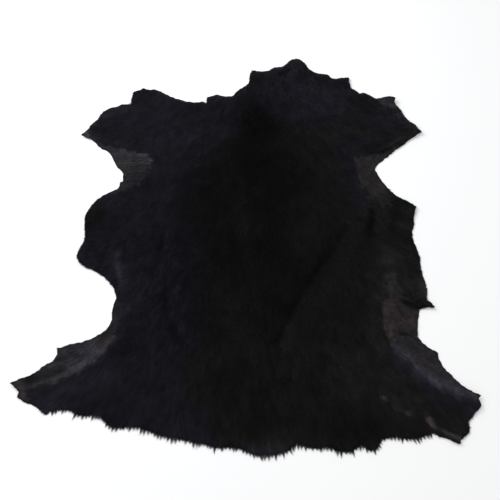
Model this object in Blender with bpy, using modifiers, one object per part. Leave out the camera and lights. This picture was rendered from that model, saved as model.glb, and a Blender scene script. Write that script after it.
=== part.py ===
"""Hair-on cattle hide laid out flat, hair side up.

Metres, +Z up, +X to the right of the laid-out skin and +Y towards the neck. The underside
lies on the floor at z = 0 except under the low buckles and the lifted tips. The outline is a
closed curve through named stations. Inside it lies a net of points that is closer near the
buckles, and the thickness grows from bare skin to full coat.
"""

import math
import random
from collections import namedtuple

import bpy
import numpy as np
from mathutils import Vector
from mathutils.geometry import delaunay_2d_cdt

# Driving dimensions of the sheet
LEATHER_THICK = 0.0024       # tanned skin alone, where it is bare and along the cut rim
COAT_THICK = 0.0046          # lying coat on the body, on top of the skin
RUMP_COAT_THICK = 0.0075     # longer coat over the rump and tail root
RUMP_COAT_START = -0.45      # y where the coat begins to lengthen
RUMP_COAT_FULL = -0.85       # y where it is longest
RIM_TAPER = 0.022            # width of the rim over which the coat thins to the skin
COAT_WAVE = 0.0007           # slow rise and fall of the coat's height
COAT_WAVE_LENGTH = 0.23      # distance between two such rises

# Driving dimensions of the edge
EDGE_STEP = 0.022            # spacing of the points along the cut edge
EDGE_RAG = 0.0014            # how far the knife strayed from the line
LOCK_PITCH = 0.0150          # one lock of hair to the next, along the rump
LOCK_GAP = 0.0022            # gap between two locks at their roots
LOCK_LENGTH = 0.018          # mean length of a lock beyond the leather
LOCK_VARIATION = 0.45        # share by which the length of a lock differs
LOCK_TIP = 0.0024            # width of the blunt tip
LOCK_TIP_THICK = 0.0018      # thickness of the tip
LOCK_ROOT_THICK = 0.0058     # thickness of the rim where the locks start
LOCK_SPREAD = 0.55           # how far the locks fan out to the two sides
LOCK_STRAY = 0.30            # how far a lock leans away from its neighbours
LOCK_INSET = 0.012           # how far the leather ends short of the mean line of the tips
LOCK_SQUARE = 0.80           # how strongly a lock stands square to the edge, against the fan

# Net of points inside the outline
NET_PITCH = 0.064            # on the flat parts
FOLD_PITCH = 0.030           # beside a buckle
CREST_PITCH = 0.026          # along the crest of a buckle
NARROW = 0.060               # a buckle that reaches less far than this has rows of its own
RIM_CLEAR = 0.40             # share of the pitch kept free along the edge
CREST_CLEAR = 0.40           # share of the crest pitch kept free between two points of crests
ROW_CLEAR = 0.55             # share of the fold pitch kept free beside the crest rows
CLOSE_NET = 0.75             # share of its reach over which a buckle has the closer net

# Shape of the buckles
RUN_OUT = 0.34               # share of its length over which a buckle fades at either end
END_REACH = 0.55             # share of its reach that a buckle keeps at its ends
SWELL = 0.12                 # share by which its height rises and falls on the way
SWELL_LENGTH = 0.31          # distance between two such rises

# Shape of the bare patches
BARE_CORE = 0.70             # share of its half size within which a patch has no coat at all
BARE_FADE = 0.55             # share of its half size over which the coat comes back

Station = namedtuple("Station", "x y corner")
Fold = namedtuple("Fold", "name height left right path")
Lift = namedtuple("Lift", "name x y reach height")
Bare = namedtuple("Bare", "name x y length width turn")

# Outline, clockwise from the tip of the left foreleg. corner 1 is a sharp turn, 0 a soft one.
LEFT_SHOULDER = (
    Station(-0.894, 0.696, 1),
    Station(-0.857, 0.743, 0),
    Station(-0.840, 0.785, 0),
    Station(-0.819, 0.808, 0),
    Station(-0.806, 0.848, 0),
    Station(-0.788, 0.871, 0),
    Station(-0.742, 0.898, 0),
    Station(-0.719, 0.901, 0),
    Station(-0.698, 0.921, 1),
    Station(-0.647, 0.918, 1),
    Station(-0.651, 0.940, 0),
    Station(-0.641, 1.006, 1),
    Station(-0.602, 1.023, 0),
    Station(-0.594, 1.035, 1),
    Station(-0.554, 1.026, 0),
    Station(-0.535, 1.030, 0),
    Station(-0.433, 0.973, 0),
    Station(-0.301, 0.932, 0),
    Station(-0.260, 0.939, 1),
    Station(-0.236, 0.923, 1),
)
NECK = (
    Station(-0.235, 0.967, 1),
    Station(-0.185, 0.990, 0),
    Station(-0.147, 0.980, 0),
    Station(-0.100, 0.979, 0),
    Station(-0.064, 1.025, 0),
    Station(-0.010, 1.073, 0),
    Station(-0.003, 1.113, 0),
    Station(0.010, 1.166, 1),
    Station(0.068, 1.163, 0),
    Station(0.108, 1.172, 0),
    Station(0.138, 1.199, 0),
    Station(0.180, 1.200, 0),
    Station(0.245, 1.254, 0),
    Station(0.280, 1.254, 0),
    Station(0.343, 1.177, 0),
    Station(0.385, 1.148, 0),
    Station(0.425, 1.146, 0),
    Station(0.468, 1.109, 0),
    Station(0.508, 1.110, 0),
    Station(0.553, 1.110, 1),
)
RIGHT_SHOULDER = (
    Station(0.555, 1.043, 1),
    Station(0.583, 1.027, 0),
    Station(0.600, 0.996, 1),
    Station(0.626, 1.004, 0),
    Station(0.660, 0.987, 0),
    Station(0.692, 0.959, 0),
    Station(0.744, 0.965, 0),
    Station(0.799, 0.952, 1),
    Station(0.788, 0.928, 0),
    Station(0.821, 0.867, 0),
    Station(0.850, 0.800, 0),
    Station(0.885, 0.765, 0),
    Station(0.892, 0.738, 0),
)
RIGHT_FORELEG = (
    Station(0.910, 0.716, 1),
    Station(0.850, 0.673, 0),
    Station(0.719, 0.562, 0),
    Station(0.662, 0.510, 0),
    Station(0.642, 0.481, 0),
    Station(0.660, 0.427, 0),
)
RIGHT_SIDE = (
    Station(0.692, 0.364, 0),
    Station(0.731, 0.314, 0),
    Station(0.772, 0.286, 0),
    Station(0.821, 0.242, 1),
    Station(0.800, 0.167, 0),
    Station(0.800, 0.140, 0),
    Station(0.784, 0.094, 0),
    Station(0.789, 0.030, 0),
    Station(0.805, -0.050, 0),
    Station(0.801, -0.100, 0),
    Station(0.814, -0.205, 0),
    Station(0.806, -0.262, 1),
    Station(0.836, -0.297, 1),
    Station(0.834, -0.307, 1),
    Station(0.803, -0.304, 0),
    Station(0.768, -0.313, 1),
    Station(0.757, -0.358, 0),
    Station(0.743, -0.448, 1),
)
RIGHT_HIND_LEG = (
    Station(0.779, -0.493, 0),
    Station(0.824, -0.521, 1),
    Station(0.821, -0.544, 0),
    Station(0.858, -0.617, 0),
    Station(0.925, -0.688, 0),
    Station(0.975, -0.716, 1),
    Station(0.963, -0.727, 0),
    Station(0.969, -0.758, 0),
    Station(0.937, -0.790, 0),
    Station(0.905, -0.827, 1),
    Station(0.904, -0.863, 0),
    Station(0.862, -0.900, 0),
    Station(0.856, -0.915, 1),
    Station(0.800, -0.890, 0),
)
# Here the stations mark the tips of the hair, and the leather ends short of them.
RUMP = (
    Station(0.752, -0.879, 0),
    Station(0.702, -0.896, 0),
    Station(0.658, -0.902, 0),
    Station(0.600, -0.893, 0),
    Station(0.536, -0.903, 1),
    Station(0.516, -0.947, 0),
    Station(0.490, -0.950, 0),
    Station(0.452, -0.924, 0),
    Station(0.425, -0.944, 0),
    Station(0.386, -0.955, 0),
    Station(0.320, -0.935, 0),
    Station(0.250, -0.941, 0),
    Station(0.190, -0.922, 0),
    Station(0.160, -0.946, 0),
    Station(0.094, -0.966, 0),
    Station(0.030, -0.969, 0),
    Station(-0.052, -0.938, 0),
    Station(-0.149, -0.935, 0),
    Station(-0.242, -0.909, 0),
    Station(-0.310, -0.900, 0),
    Station(-0.424, -0.868, 0),
    Station(-0.496, -0.849, 0),
    Station(-0.540, -0.858, 0),
    Station(-0.600, -0.838, 0),
    Station(-0.620, -0.812, 0),
    Station(-0.717, -0.802, 0),
    Station(-0.765, -0.781, 0),
    Station(-0.838, -0.788, 0),
)
LEFT_HIND_LEG = (
    Station(-0.849, -0.796, 1),
    Station(-0.900, -0.760, 0),
    Station(-0.965, -0.733, 0),
    Station(-0.983, -0.720, 0),
    Station(-0.980, -0.698, 1),
    Station(-1.022, -0.660, 1),
    Station(-0.925, -0.610, 0),
    Station(-0.885, -0.573, 0),
    Station(-0.860, -0.563, 1),
    Station(-0.843, -0.529, 0),
    Station(-0.848, -0.502, 1),
    Station(-0.742, -0.471, 0),
    Station(-0.665, -0.433, 0),
    Station(-0.631, -0.394, 0),
)
LEFT_SIDE = (
    Station(-0.621, -0.290, 0),
    Station(-0.611, -0.258, 1),
    Station(-0.638, -0.192, 0),
    Station(-0.727, -0.112, 0),
    Station(-0.771, -0.095, 0),
    Station(-0.803, -0.073, 0),
    Station(-0.820, -0.035, 0),
    Station(-0.801, 0.030, 0),
    Station(-0.795, 0.070, 0),
    Station(-0.810, 0.173, 0),
    Station(-0.798, 0.228, 0),
    Station(-0.754, 0.296, 0),
    Station(-0.712, 0.331, 0),
    Station(-0.664, 0.360, 0),
    Station(-0.661, 0.395, 1),
    Station(-0.646, 0.399, 1),
    Station(-0.648, 0.445, 0),
)
LEFT_FORELEG = (
    Station(-0.687, 0.499, 0),
    Station(-0.744, 0.594, 0),
    Station(-0.781, 0.615, 0),
    Station(-0.819, 0.654, 0),
    Station(-0.869, 0.683, 0),
)

# Low buckles of the laid skin: crest height, reach to the left and to the right of the path
# as it is walked, and the path of the crest.
FOLDS = (
    Fold("spine side of the diagonal trough", 0.013, 0.200, 0.085,
         ((-0.06, -0.56), (0.08, -0.34), (0.17, -0.17), (0.27, -0.02), (0.39, 0.20), (0.46, 0.36))),
    Fold("flank side of the diagonal trough", 0.015, 0.180, 0.080,
         ((0.60, 0.16), (0.47, -0.03), (0.38, -0.17), (0.30, -0.31), (0.22, -0.50))),
    Fold("lower end of the trough", 0.008, 0.120, 0.060,
         ((0.18, -0.52), (0.07, -0.69), (-0.03, -0.84))),
    Fold("right shoulder crease, inner lip", 0.012, 0.090, 0.034,
         ((0.535, -0.06), (0.540, 0.08), (0.56, 0.17), (0.595, 0.30))),
    Fold("right shoulder crease, outer lip", 0.010, 0.034, 0.085,
         ((0.612, -0.04), (0.622, 0.12), (0.66, 0.27))),
    Fold("right belly ridge", 0.011, 0.060, 0.055,
         ((0.650, -0.34), (0.66, -0.22), (0.655, -0.12), (0.640, 0.02))),
    Fold("right flank tuck", 0.012, 0.055, 0.022,
         ((0.57, -0.395), (0.67, -0.415), (0.76, -0.445))),
    Fold("right hind leg ridge", 0.018, 0.055, 0.100,
         ((0.57, -0.450), (0.688, -0.556), (0.764, -0.624), (0.855, -0.677), (0.975, -0.722))),
    Fold("left hind leg ridge", 0.020, 0.105, 0.050,
         ((-0.575, -0.380), (-0.668, -0.511), (-0.736, -0.571), (-0.812, -0.624), (-0.950, -0.655))),
    Fold("left hind leg tuck", 0.009, 0.030, 0.024,
         ((-0.850, -0.535), (-0.80, -0.510), (-0.72, -0.475))),
    Fold("left belly ridge", 0.012, 0.065, 0.048,
         ((-0.580, -0.25), (-0.612, -0.12), (-0.640, 0.02))),
    Fold("left flank wave, upper", 0.008, 0.080, 0.050,
         ((-0.48, -0.20), (-0.488, -0.02), (-0.460, 0.19))),
    Fold("left flank wave, outer", 0.008, 0.070, 0.046,
         ((-0.40, -0.47), (-0.438, -0.31), (-0.425, -0.14))),
    Fold("left flank wave, inner", 0.010, 0.046, 0.110,
         ((-0.23, -0.55), (-0.315, -0.39), (-0.345, -0.28), (-0.32, -0.12))),
    Fold("left armpit wrinkle, upper", 0.008, 0.030, 0.028,
         ((-0.71, 0.548), (-0.60, 0.562), (-0.48, 0.556))),
    Fold("left armpit wrinkle, middle", 0.009, 0.028, 0.028,
         ((-0.69, 0.480), (-0.59, 0.502), (-0.49, 0.508))),
    Fold("left armpit wrinkle, lower", 0.008, 0.028, 0.028,
         ((-0.66, 0.420), (-0.59, 0.440), (-0.50, 0.455))),
    Fold("right armpit edge", 0.011, 0.040, 0.060,
         ((0.63, 0.22), (0.565, 0.37), (0.545, 0.47), (0.515, 0.60))),
    Fold("right foreleg edge", 0.010, 0.060, 0.034,
         ((0.48, 0.540), (0.60, 0.575), (0.70, 0.605), (0.78, 0.655), (0.89, 0.725))),
    Fold("neck wave", 0.007, 0.110, 0.090,
         ((0.02, 0.94), (0.20, 1.02), (0.42, 1.03))),
)

# Tips and corners that stand off the floor.
LIFTS = (
    Lift("left foreleg tip", -0.894, 0.696, 0.130, 0.012),
    Lift("right foreleg tip", 0.910, 0.716, 0.140, 0.013),
    Lift("left hind leg tip", -1.022, -0.660, 0.120, 0.010),
    Lift("right hind leg tip", 0.975, -0.716, 0.120, 0.012),
    Lift("turned-up corner of the right shoulder", 0.799, 0.952, 0.120, 0.022),
    Lift("tag on the right side", 0.836, -0.300, 0.080, 0.010),
    Lift("left neck corner", 0.010, 1.166, 0.090, 0.008),
    Lift("neck top", 0.262, 1.254, 0.110, 0.008),
    Lift("right neck corner", 0.553, 1.110, 0.090, 0.010),
    Lift("left shoulder corner", -0.641, 1.006, 0.090, 0.008),
    Lift("left belly lobe", -0.820, -0.035, 0.120, 0.010),
    Lift("right side corner", 0.821, 0.242, 0.110, 0.010),
    Lift("right rump corner", 0.856, -0.915, 0.080, 0.006),
)

# Places where the coat is thin or gone: middle, half length, half width, turn in degrees.
BARE_PATCHES = (
    Bare("left armpit", -0.640, 0.530, 0.150, 0.085, -42.0),
    Bare("right armpit", 0.610, 0.430, 0.170, 0.062, 104.0),
    Bare("right foreleg underside", 0.740, 0.600, 0.150, 0.030, 40.0),
    Bare("left flank strip", -0.608, -0.300, 0.130, 0.026, 92.0),
    Bare("right flank", 0.670, -0.370, 0.100, 0.085, 90.0),
    Bare("left hind leg, outer side", -0.750, -0.510, 0.200, 0.052, 33.0),
    Bare("right hind leg, outer side", 0.790, -0.560, 0.200, 0.060, -45.0),
    Bare("left hind leg tip", -0.985, -0.680, 0.075, 0.045, 20.0),
    Bare("left foreleg tip", -0.860, 0.690, 0.070, 0.035, -20.0),
    Bare("turned-up corner", 0.760, 0.930, 0.065, 0.040, -10.0),
    Bare("scar by the rump", 0.795, -0.865, 0.080, 0.018, -27.0),
)

random_edge = random.Random(4127)


def clear_scene():
    """Start from nothing."""
    for thing in list(bpy.data.objects):
        bpy.data.objects.remove(thing, do_unlink=True)


def smooth(share):
    """Ease from 0 to 1, on one number or on an array."""
    share = np.clip(share, 0.0, 1.0)
    return share * share * (3.0 - 2.0 * share)


def tangents(stations):
    """Direction of the edge as it leaves and as it reaches every station of the closed edge."""
    places = [Vector((s.x, s.y)) for s in stations]
    leaving = []
    reaching = []
    for i, station in enumerate(stations):
        before = (places[i] - places[i - 1]).normalized()
        after = (places[(i + 1) % len(places)] - places[i]).normalized()
        if station.corner:
            leaving.append(after)
            reaching.append(before)
        else:
            leaving.append((before + after).normalized())
            reaching.append((before + after).normalized())
    return places, leaving, reaching


def span_points(start, end, leave, reach, step):
    """Points of one soft span, from its start up to but without its end."""
    chord = (end - start).length
    count = max(1, round(chord / step))
    points = []
    for i in range(count):
        t = i / count
        point = start * (2.0 * t**3 - 3.0 * t**2 + 1.0) + end * (3.0 * t**2 - 2.0 * t**3)
        point += leave * chord * (t**3 - 2.0 * t**2 + t) + reach * chord * (t**3 - t**2)
        points.append(point)
    return points


def ragged(points, stations):
    """Let the knife stray a little between the stations."""
    fixed = {(round(s.x, 4), round(s.y, 4)) for s in stations}
    result = []
    for i, point in enumerate(points):
        if (round(point.x, 4), round(point.y, 4)) in fixed or i in (0, len(points) - 1):
            result.append(point)
            continue
        along = (points[i + 1] - points[i - 1]).normalized()
        stray = random_edge.uniform(-EDGE_RAG, EDGE_RAG)
        result.append(point + Vector((-along.y, along.x)) * stray)
    return result


def evenly(points, pitch):
    """Places at one pitch along an open line, with the direction of the line at each."""
    lengths = [0.0]
    for a, b in zip(points, points[1:]):
        lengths.append(lengths[-1] + (b - a).length)
    count = max(1, round(lengths[-1] / pitch))
    result = []
    k = 0
    for i in range(count + 1):
        target = lengths[-1] * i / count
        while k < len(points) - 2 and lengths[k + 1] < target:
            k += 1
        share = (target - lengths[k]) / max(lengths[k + 1] - lengths[k], 1e-9)
        along = (points[k + 1] - points[k]).normalized()
        result.append((points[k].lerp(points[k + 1], share), along))
    return result


def hair_locks(line):
    """Locks of hair along the rump: root, blunt tip and root again, one after another."""
    places = evenly(line, LOCK_PITCH)
    ring = []
    tips = set()
    for (start, along), (end, _) in zip(places, places[1:]):
        outward = Vector((-along.y, along.x))
        fan = Vector((LOCK_SPREAD * 0.5 * (start.x + end.x), -1.0)).normalized()
        stray = Vector((random_edge.uniform(-LOCK_STRAY, LOCK_STRAY), 0.0))
        grow = (outward * LOCK_SQUARE + fan + stray).normalized()
        length = LOCK_LENGTH * random_edge.uniform(1.0 - LOCK_VARIATION, 1.0 + LOCK_VARIATION)
        root_start = start - fan * LOCK_INSET + along * LOCK_GAP * 0.5
        root_end = end - fan * LOCK_INSET - along * LOCK_GAP * 0.5
        tip = (root_start + root_end) * 0.5 + grow * length
        half = (root_end - root_start).normalized() * LOCK_TIP * 0.5
        ring.append(root_start)
        tips.add(len(ring))
        ring.append(tip - half)
        tips.add(len(ring))
        ring.append(tip + half)
        ring.append(root_end)
    return ring, tips


def outline():
    """The whole outline, and which of its points are tips and roots of the locks."""
    before_rump = LEFT_SHOULDER + NECK + RIGHT_SHOULDER + RIGHT_FORELEG + RIGHT_SIDE + RIGHT_HIND_LEG
    after_rump = LEFT_HIND_LEG + LEFT_SIDE + LEFT_FORELEG
    stations = before_rump + RUMP + after_rump
    places, leaving, reaching = tangents(stations)
    cut_before, hair, cut_after = [], [], []
    for i in range(len(stations)):
        end = (i + 1) % len(stations)
        points = span_points(places[i], places[end], leaving[i], reaching[end], EDGE_STEP)
        if i < len(before_rump):
            cut_before.extend(points)
        elif i < len(before_rump) + len(RUMP):
            hair.extend(points)
        else:
            cut_after.extend(points)
    ring = ragged(cut_before, stations)
    locks, tips = hair_locks(hair)
    first = len(ring)
    ring += locks
    lock_points = range(first, len(ring))
    ring += ragged(cut_after, stations)
    return ring, {first + i for i in tips}, set(lock_points)


def crest(fold):
    """The crest of a buckle as a soft line, point by point."""
    knots = [Vector(p) for p in fold.path]
    ways = [(b - a).normalized() for a, b in zip(knots, knots[1:])]
    turns = [ways[0]] + [(a + b).normalized() for a, b in zip(ways, ways[1:])] + [ways[-1]]
    points = []
    for i in range(len(knots) - 1):
        points += span_points(knots[i], knots[i + 1], turns[i], turns[i + 1], CREST_PITCH)
    return points + [knots[-1]]


def beside(points, line):
    """For each point: distance to the line, the side of it (left is true), share of the way."""
    start = np.array(line[:-1])[None]
    step = np.diff(np.array(line), axis=0)[None]
    size = (step**2).sum(2)
    offset = points[:, None] - start
    share = np.clip((offset * step).sum(2) / size, 0.0, 1.0)
    away = offset - step * share[..., None]
    distance = np.hypot(away[..., 0], away[..., 1])
    nearest = distance.argmin(1)
    rows = np.arange(len(points))
    side = step[0, nearest, 0] * away[rows, nearest, 1] - step[0, nearest, 1] * away[rows, nearest, 0]
    lengths = np.sqrt(size[0])
    walked = np.concatenate([[0.0], lengths.cumsum()])
    along = (walked[nearest] + share[rows, nearest] * lengths[nearest]) / walked[-1]
    return distance[rows, nearest], side > 0.0, along


def lift(points):
    """Height of the underside over the floor."""
    height = np.zeros(len(points))
    for number, fold in enumerate(FOLDS):
        away, left, along = beside(points, CRESTS[number])
        fade = smooth(along / RUN_OUT) * smooth((1.0 - along) / RUN_OUT)
        turn = 2.0 * math.pi / SWELL_LENGTH
        uneven = 1.0 + SWELL * np.sin(points[:, 0] * turn + number) * np.cos(points[:, 1] * turn)
        reach = np.where(left, fold.left, fold.right) * (END_REACH + (1.0 - END_REACH) * fade)
        height = np.maximum(height, fold.height * fade * uneven * smooth(1.0 - away / reach))
    for raised in LIFTS:
        away = np.hypot(points[:, 0] - raised.x, points[:, 1] - raised.y)
        height = np.maximum(height, raised.height * smooth(1.0 - away / raised.reach))
    return height


def cover(points):
    """How full the coat is, from 0 on bare skin to 1."""
    full = np.ones(len(points))
    for bare in BARE_PATCHES:
        turn = math.radians(bare.turn)
        dx = points[:, 0] - bare.x
        dy = points[:, 1] - bare.y
        along = (dx * math.cos(turn) + dy * math.sin(turn)) / bare.length
        across = (dy * math.cos(turn) - dx * math.sin(turn)) / bare.width
        full = np.minimum(full, smooth((np.hypot(along, across) - BARE_CORE) / BARE_FADE))
    return full


def coat_height(points, from_rim):
    """Thickness of skin and lying coat together."""
    rump = smooth((RUMP_COAT_START - points[:, 1]) / (RUMP_COAT_START - RUMP_COAT_FULL))
    coat = COAT_THICK + (RUMP_COAT_THICK - COAT_THICK) * rump
    turn = 2.0 * math.pi / COAT_WAVE_LENGTH
    coat += COAT_WAVE * np.sin(points[:, 0] * turn) * np.cos(points[:, 1] * turn)
    return LEATHER_THICK + coat * cover(points) * smooth(from_rim / RIM_TAPER)


def near_fold(points):
    """Is a point on or beside a buckle or a lifted corner?"""
    near = np.zeros(len(points), bool)
    for number, fold in enumerate(FOLDS):
        away, left, along = beside(points, CRESTS[number])
        near |= away < np.where(left, fold.left, fold.right) * CLOSE_NET
    for raised in LIFTS:
        near |= np.hypot(points[:, 0] - raised.x, points[:, 1] - raised.y) < raised.reach * CLOSE_NET
    return near


def inside(points, ring):
    """Even-odd test of each point against the closed outline."""
    end = np.array(ring)
    start = np.roll(end, 1, axis=0)
    x, y = points[:, :1], points[:, 1:]
    spans = (start[:, 1] > y) != (end[:, 1] > y)
    rise = np.where(end[:, 1] == start[:, 1], 1.0, end[:, 1] - start[:, 1])
    crossing = start[:, 0] + (y - start[:, 1]) * (end[:, 0] - start[:, 0]) / rise
    return (spans & (x < crossing)).sum(1) % 2 == 1


def rim_distance(points, ring):
    """Shortest way from each point to the outline."""
    return beside(points, ring + ring[:1])[0]


def crest_rows():
    """Points on each crest, and on rows beside it where the buckle is narrow."""
    rows = []
    for number, fold in enumerate(FOLDS):
        for place, along in evenly(CRESTS[number], CREST_PITCH):
            across = Vector((-along.y, along.x))
            rows.append(place)
            for reach in (fold.left, -fold.right):
                if abs(reach) < NARROW:
                    rows.append(place + across * reach * 0.5)
                    rows.append(place + across * reach)
    return rows


def thinned(points, clear):
    """Drop each point that lies too close to an earlier one."""
    kept = []
    for point in points:
        if all((point - other).length > clear for other in kept):
            kept.append(point)
    return kept


def net_points(ring):
    """Crest rows, and a triangular lattice that is wide on the flat parts and close beside buckles."""
    rows = np.array(thinned(crest_rows(), CREST_CLEAR * CREST_PITCH))
    rows = rows[inside(rows, ring)]
    rows = rows[rim_distance(rows, ring) > RIM_CLEAR * CREST_PITCH]
    low, high = np.min(ring, axis=0), np.max(ring, axis=0)
    nets = [rows]
    for pitch, wanted in ((NET_PITCH, False), (FOLD_PITCH, True)):
        row_height = pitch * math.sqrt(3.0) / 2.0
        row, column = np.mgrid[0:int((high[1] - low[1]) / row_height), 0:int((high[0] - low[0]) / pitch)]
        x = low[0] + (column + 0.5 * (row % 2)) * pitch
        y = low[1] + row * row_height
        points = np.column_stack([x.ravel(), y.ravel()])
        points = points[(near_fold(points) == wanted) & inside(points, ring)]
        points = points[rim_distance(points, ring) > RIM_CLEAR * pitch]
        to_rows = np.linalg.norm(points[:, None] - rows[None], axis=2).min(1)
        nets.append(points[to_rows > ROW_CLEAR * FOLD_PITCH])
    return [Vector(p) for p in np.concatenate(nets)]


def build_sheet(name, material, home):
    """Fill the outline with triangles, lift the buckles and thicken the sheet upwards."""
    ring, tips, lock_points = outline()
    count = len(ring)
    edges = [(i, (i + 1) % count) for i in range(count)]
    flat, _, faces, came_from, _, _ = delaunay_2d_cdt(ring + net_points(ring), edges, [], 1, 1e-6)
    places = np.array(flat)

    mesh = bpy.data.meshes.new(name)
    mesh.from_pydata(np.column_stack([places, lift(places)]), [], faces)
    mesh.materials.append(material)
    if sum(face.normal.z for face in mesh.polygons) < 0.0:
        mesh.flip_normals()
    sheet = bpy.data.objects.new(name, mesh)
    home.objects.link(sheet)

    source = np.array([origin[0] for origin in came_from])
    from_rim = np.where(source < count, 0.0, rim_distance(places, ring))
    thick = coat_height(places, from_rim)
    thick[np.isin(source, list(lock_points))] = LOCK_ROOT_THICK
    thick[np.isin(source, list(tips))] = LOCK_TIP_THICK
    group = sheet.vertex_groups.new(name="thickness")
    for i, share in enumerate(thick / thick.max()):
        group.add([i], share, "REPLACE")

    solid = sheet.modifiers.new("thickness", "SOLIDIFY")
    solid.thickness = thick.max()
    solid.offset = 1.0
    solid.vertex_group = group.name
    solid.use_rim = True
    return sheet


def coat_material():
    """Black cattle hair."""
    material = bpy.data.materials.new("black_coat")
    material.use_nodes = True
    shader = material.node_tree.nodes["Principled BSDF"]
    shader.inputs["Base Color"].default_value = (0.012, 0.012, 0.014, 1.0)
    shader.inputs["Roughness"].default_value = 0.62
    return material


def recentre(sheet):
    """Put the origin under the middle of the finished sheet's box, on the floor."""
    bpy.context.view_layer.update()
    finished = sheet.evaluated_get(bpy.context.evaluated_depsgraph_get()).to_mesh()
    places = np.array([vertex.co for vertex in finished.vertices])
    low, high = places.min(0), places.max(0)
    shift = Vector((-0.5 * (low[0] + high[0]), -0.5 * (low[1] + high[1]), -low[2]))
    for vertex in sheet.data.vertices:
        vertex.co += shift


clear_scene()
CRESTS = [crest(fold) for fold in FOLDS]
collection = bpy.data.collections.new("leather_hide")
bpy.context.scene.collection.children.link(collection)
hide = build_sheet("hide", coat_material(), collection)
recentre(hide)
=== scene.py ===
"""Finish of the hair-on hide: skin with creases and bare places, lying coat, hair along the rump.

Metres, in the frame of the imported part: +X to the right of the laid-out skin, +Y towards the neck.
Places on the hide are given in the plan in which it was laid out, as in the part's source, and
PLAN_TO_ROW moves them to the row's origin. Every lock of hair is closed: three sides that run to
a point, and a root.
"""

import math
from collections import namedtuple

import bmesh
import bpy
import numpy as np
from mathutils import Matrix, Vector, kdtree
from mathutils.bvhtree import BVHTree
from mathutils.geometry import delaunay_2d_cdt


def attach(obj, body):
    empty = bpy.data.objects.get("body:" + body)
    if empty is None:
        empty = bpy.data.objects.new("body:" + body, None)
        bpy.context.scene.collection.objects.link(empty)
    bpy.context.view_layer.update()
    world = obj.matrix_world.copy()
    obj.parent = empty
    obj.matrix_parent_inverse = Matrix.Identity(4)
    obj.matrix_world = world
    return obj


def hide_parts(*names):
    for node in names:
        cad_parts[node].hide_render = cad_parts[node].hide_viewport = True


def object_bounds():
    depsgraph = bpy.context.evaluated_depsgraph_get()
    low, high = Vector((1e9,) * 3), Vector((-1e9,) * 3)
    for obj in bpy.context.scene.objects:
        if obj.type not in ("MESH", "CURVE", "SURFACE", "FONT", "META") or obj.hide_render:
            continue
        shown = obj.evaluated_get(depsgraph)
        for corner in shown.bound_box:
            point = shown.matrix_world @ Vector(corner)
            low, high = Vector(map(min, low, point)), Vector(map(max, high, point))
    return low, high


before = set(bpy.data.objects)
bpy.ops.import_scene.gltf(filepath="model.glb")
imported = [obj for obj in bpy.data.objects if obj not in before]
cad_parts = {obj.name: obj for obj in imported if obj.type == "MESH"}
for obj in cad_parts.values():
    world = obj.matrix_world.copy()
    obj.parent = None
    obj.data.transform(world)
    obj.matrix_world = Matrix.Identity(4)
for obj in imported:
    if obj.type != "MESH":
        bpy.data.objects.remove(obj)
cad_low, cad_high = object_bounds()

PLAN_TO_ROW = np.array([0.0235, -0.138])

# Camera: 60 degrees above the floor, looking at the middle of the plan
CAMERA_ELEVATION = math.radians(60.0)
CAMERA_DISTANCE = 3.144
CAMERA_LENS = 47.4           # millimetres, on a sensor 36 mm wide
SENSOR_WIDTH = 36.0

# Light and floor
SKY_STRENGTH = 0.85
LAMP_PLACE = (-2.6, 1.8, 2.6)
LAMP_SIZE = 2.0
LAMP_ENERGY = 90.0
LAMP_COLOUR = (0.93, 0.96, 1.0)
FLOOR_COLOUR = (0.93, 0.93, 0.93, 1.0)
FLOOR_HALF = 30.0            # half of the floor's side
FLOOR_DROP = 0.0004          # how far the floor lies under the hide

# Colours
NEUTRAL_BLACK = (0.0090, 0.0090, 0.0088, 1.0)
# a lighter bluish black: the hair's painted bluish sheen
COOL_SHEEN_BLACK = (0.0120, 0.0116, 0.0170, 1.0)
GREY_SKIN = (0.0165, 0.0159, 0.0204, 1.0)
PINK_SKIN = (0.0240, 0.0176, 0.0182, 1.0)
SCAR_PINK = (0.0500, 0.0365, 0.0360, 1.0)
SUEDE_DARK, SUEDE_LIGHT = (0.30, 0.27, 0.23, 1.0), (0.42, 0.38, 0.33, 1.0)
CUT_DARK, CUT_LIGHT = (0.010, 0.009, 0.009, 1.0), (0.030, 0.027, 0.025, 1.0)
ROOT_DUST = 0.75             # lightness of hair at its root, as a share of its colour
TIP_DUST = 0.4               # how much lighter it is at its tip
UNDERHAIR_DUST = 0.7
SKIN_CLOUD_LOW = 0.35        # lightness of bare skin where its noise is 0
SKIN_CLOUD_SPAN = 1.3        # and how much the noise adds

# How the CAD sheet is read. Its cover is 1 well inside, 0.5 at the rim and 0 well outside.
RASTER = 0.008               # cells in which its heights are read
RASTER_MARGIN = 0.05         # how far the cells reach past it
SOFTEN = 0.013               # how far those heights are evened out, so that no facet shows
WELD = 2e-5                  # corners nearer than this are one point
UNDERSIDE_NORMAL = -0.5      # faces whose normal has a lower z are the underside
WALL_RISE = 0.0012           # an edge that rises more than this runs up the rim's wall
LOCK_WALL = 0.0021           # the wall is lower than this at the tips of the rump's locks
LEAST_COVER = 0.1            # cover under which the skin has no points
RIM_COVER, RIM_FADE = 0.75, 0.25  # cover at which the rim's shade ends, and over which it fades
OVERHANG = 0.40              # cover at which hair past the rim ends

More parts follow.
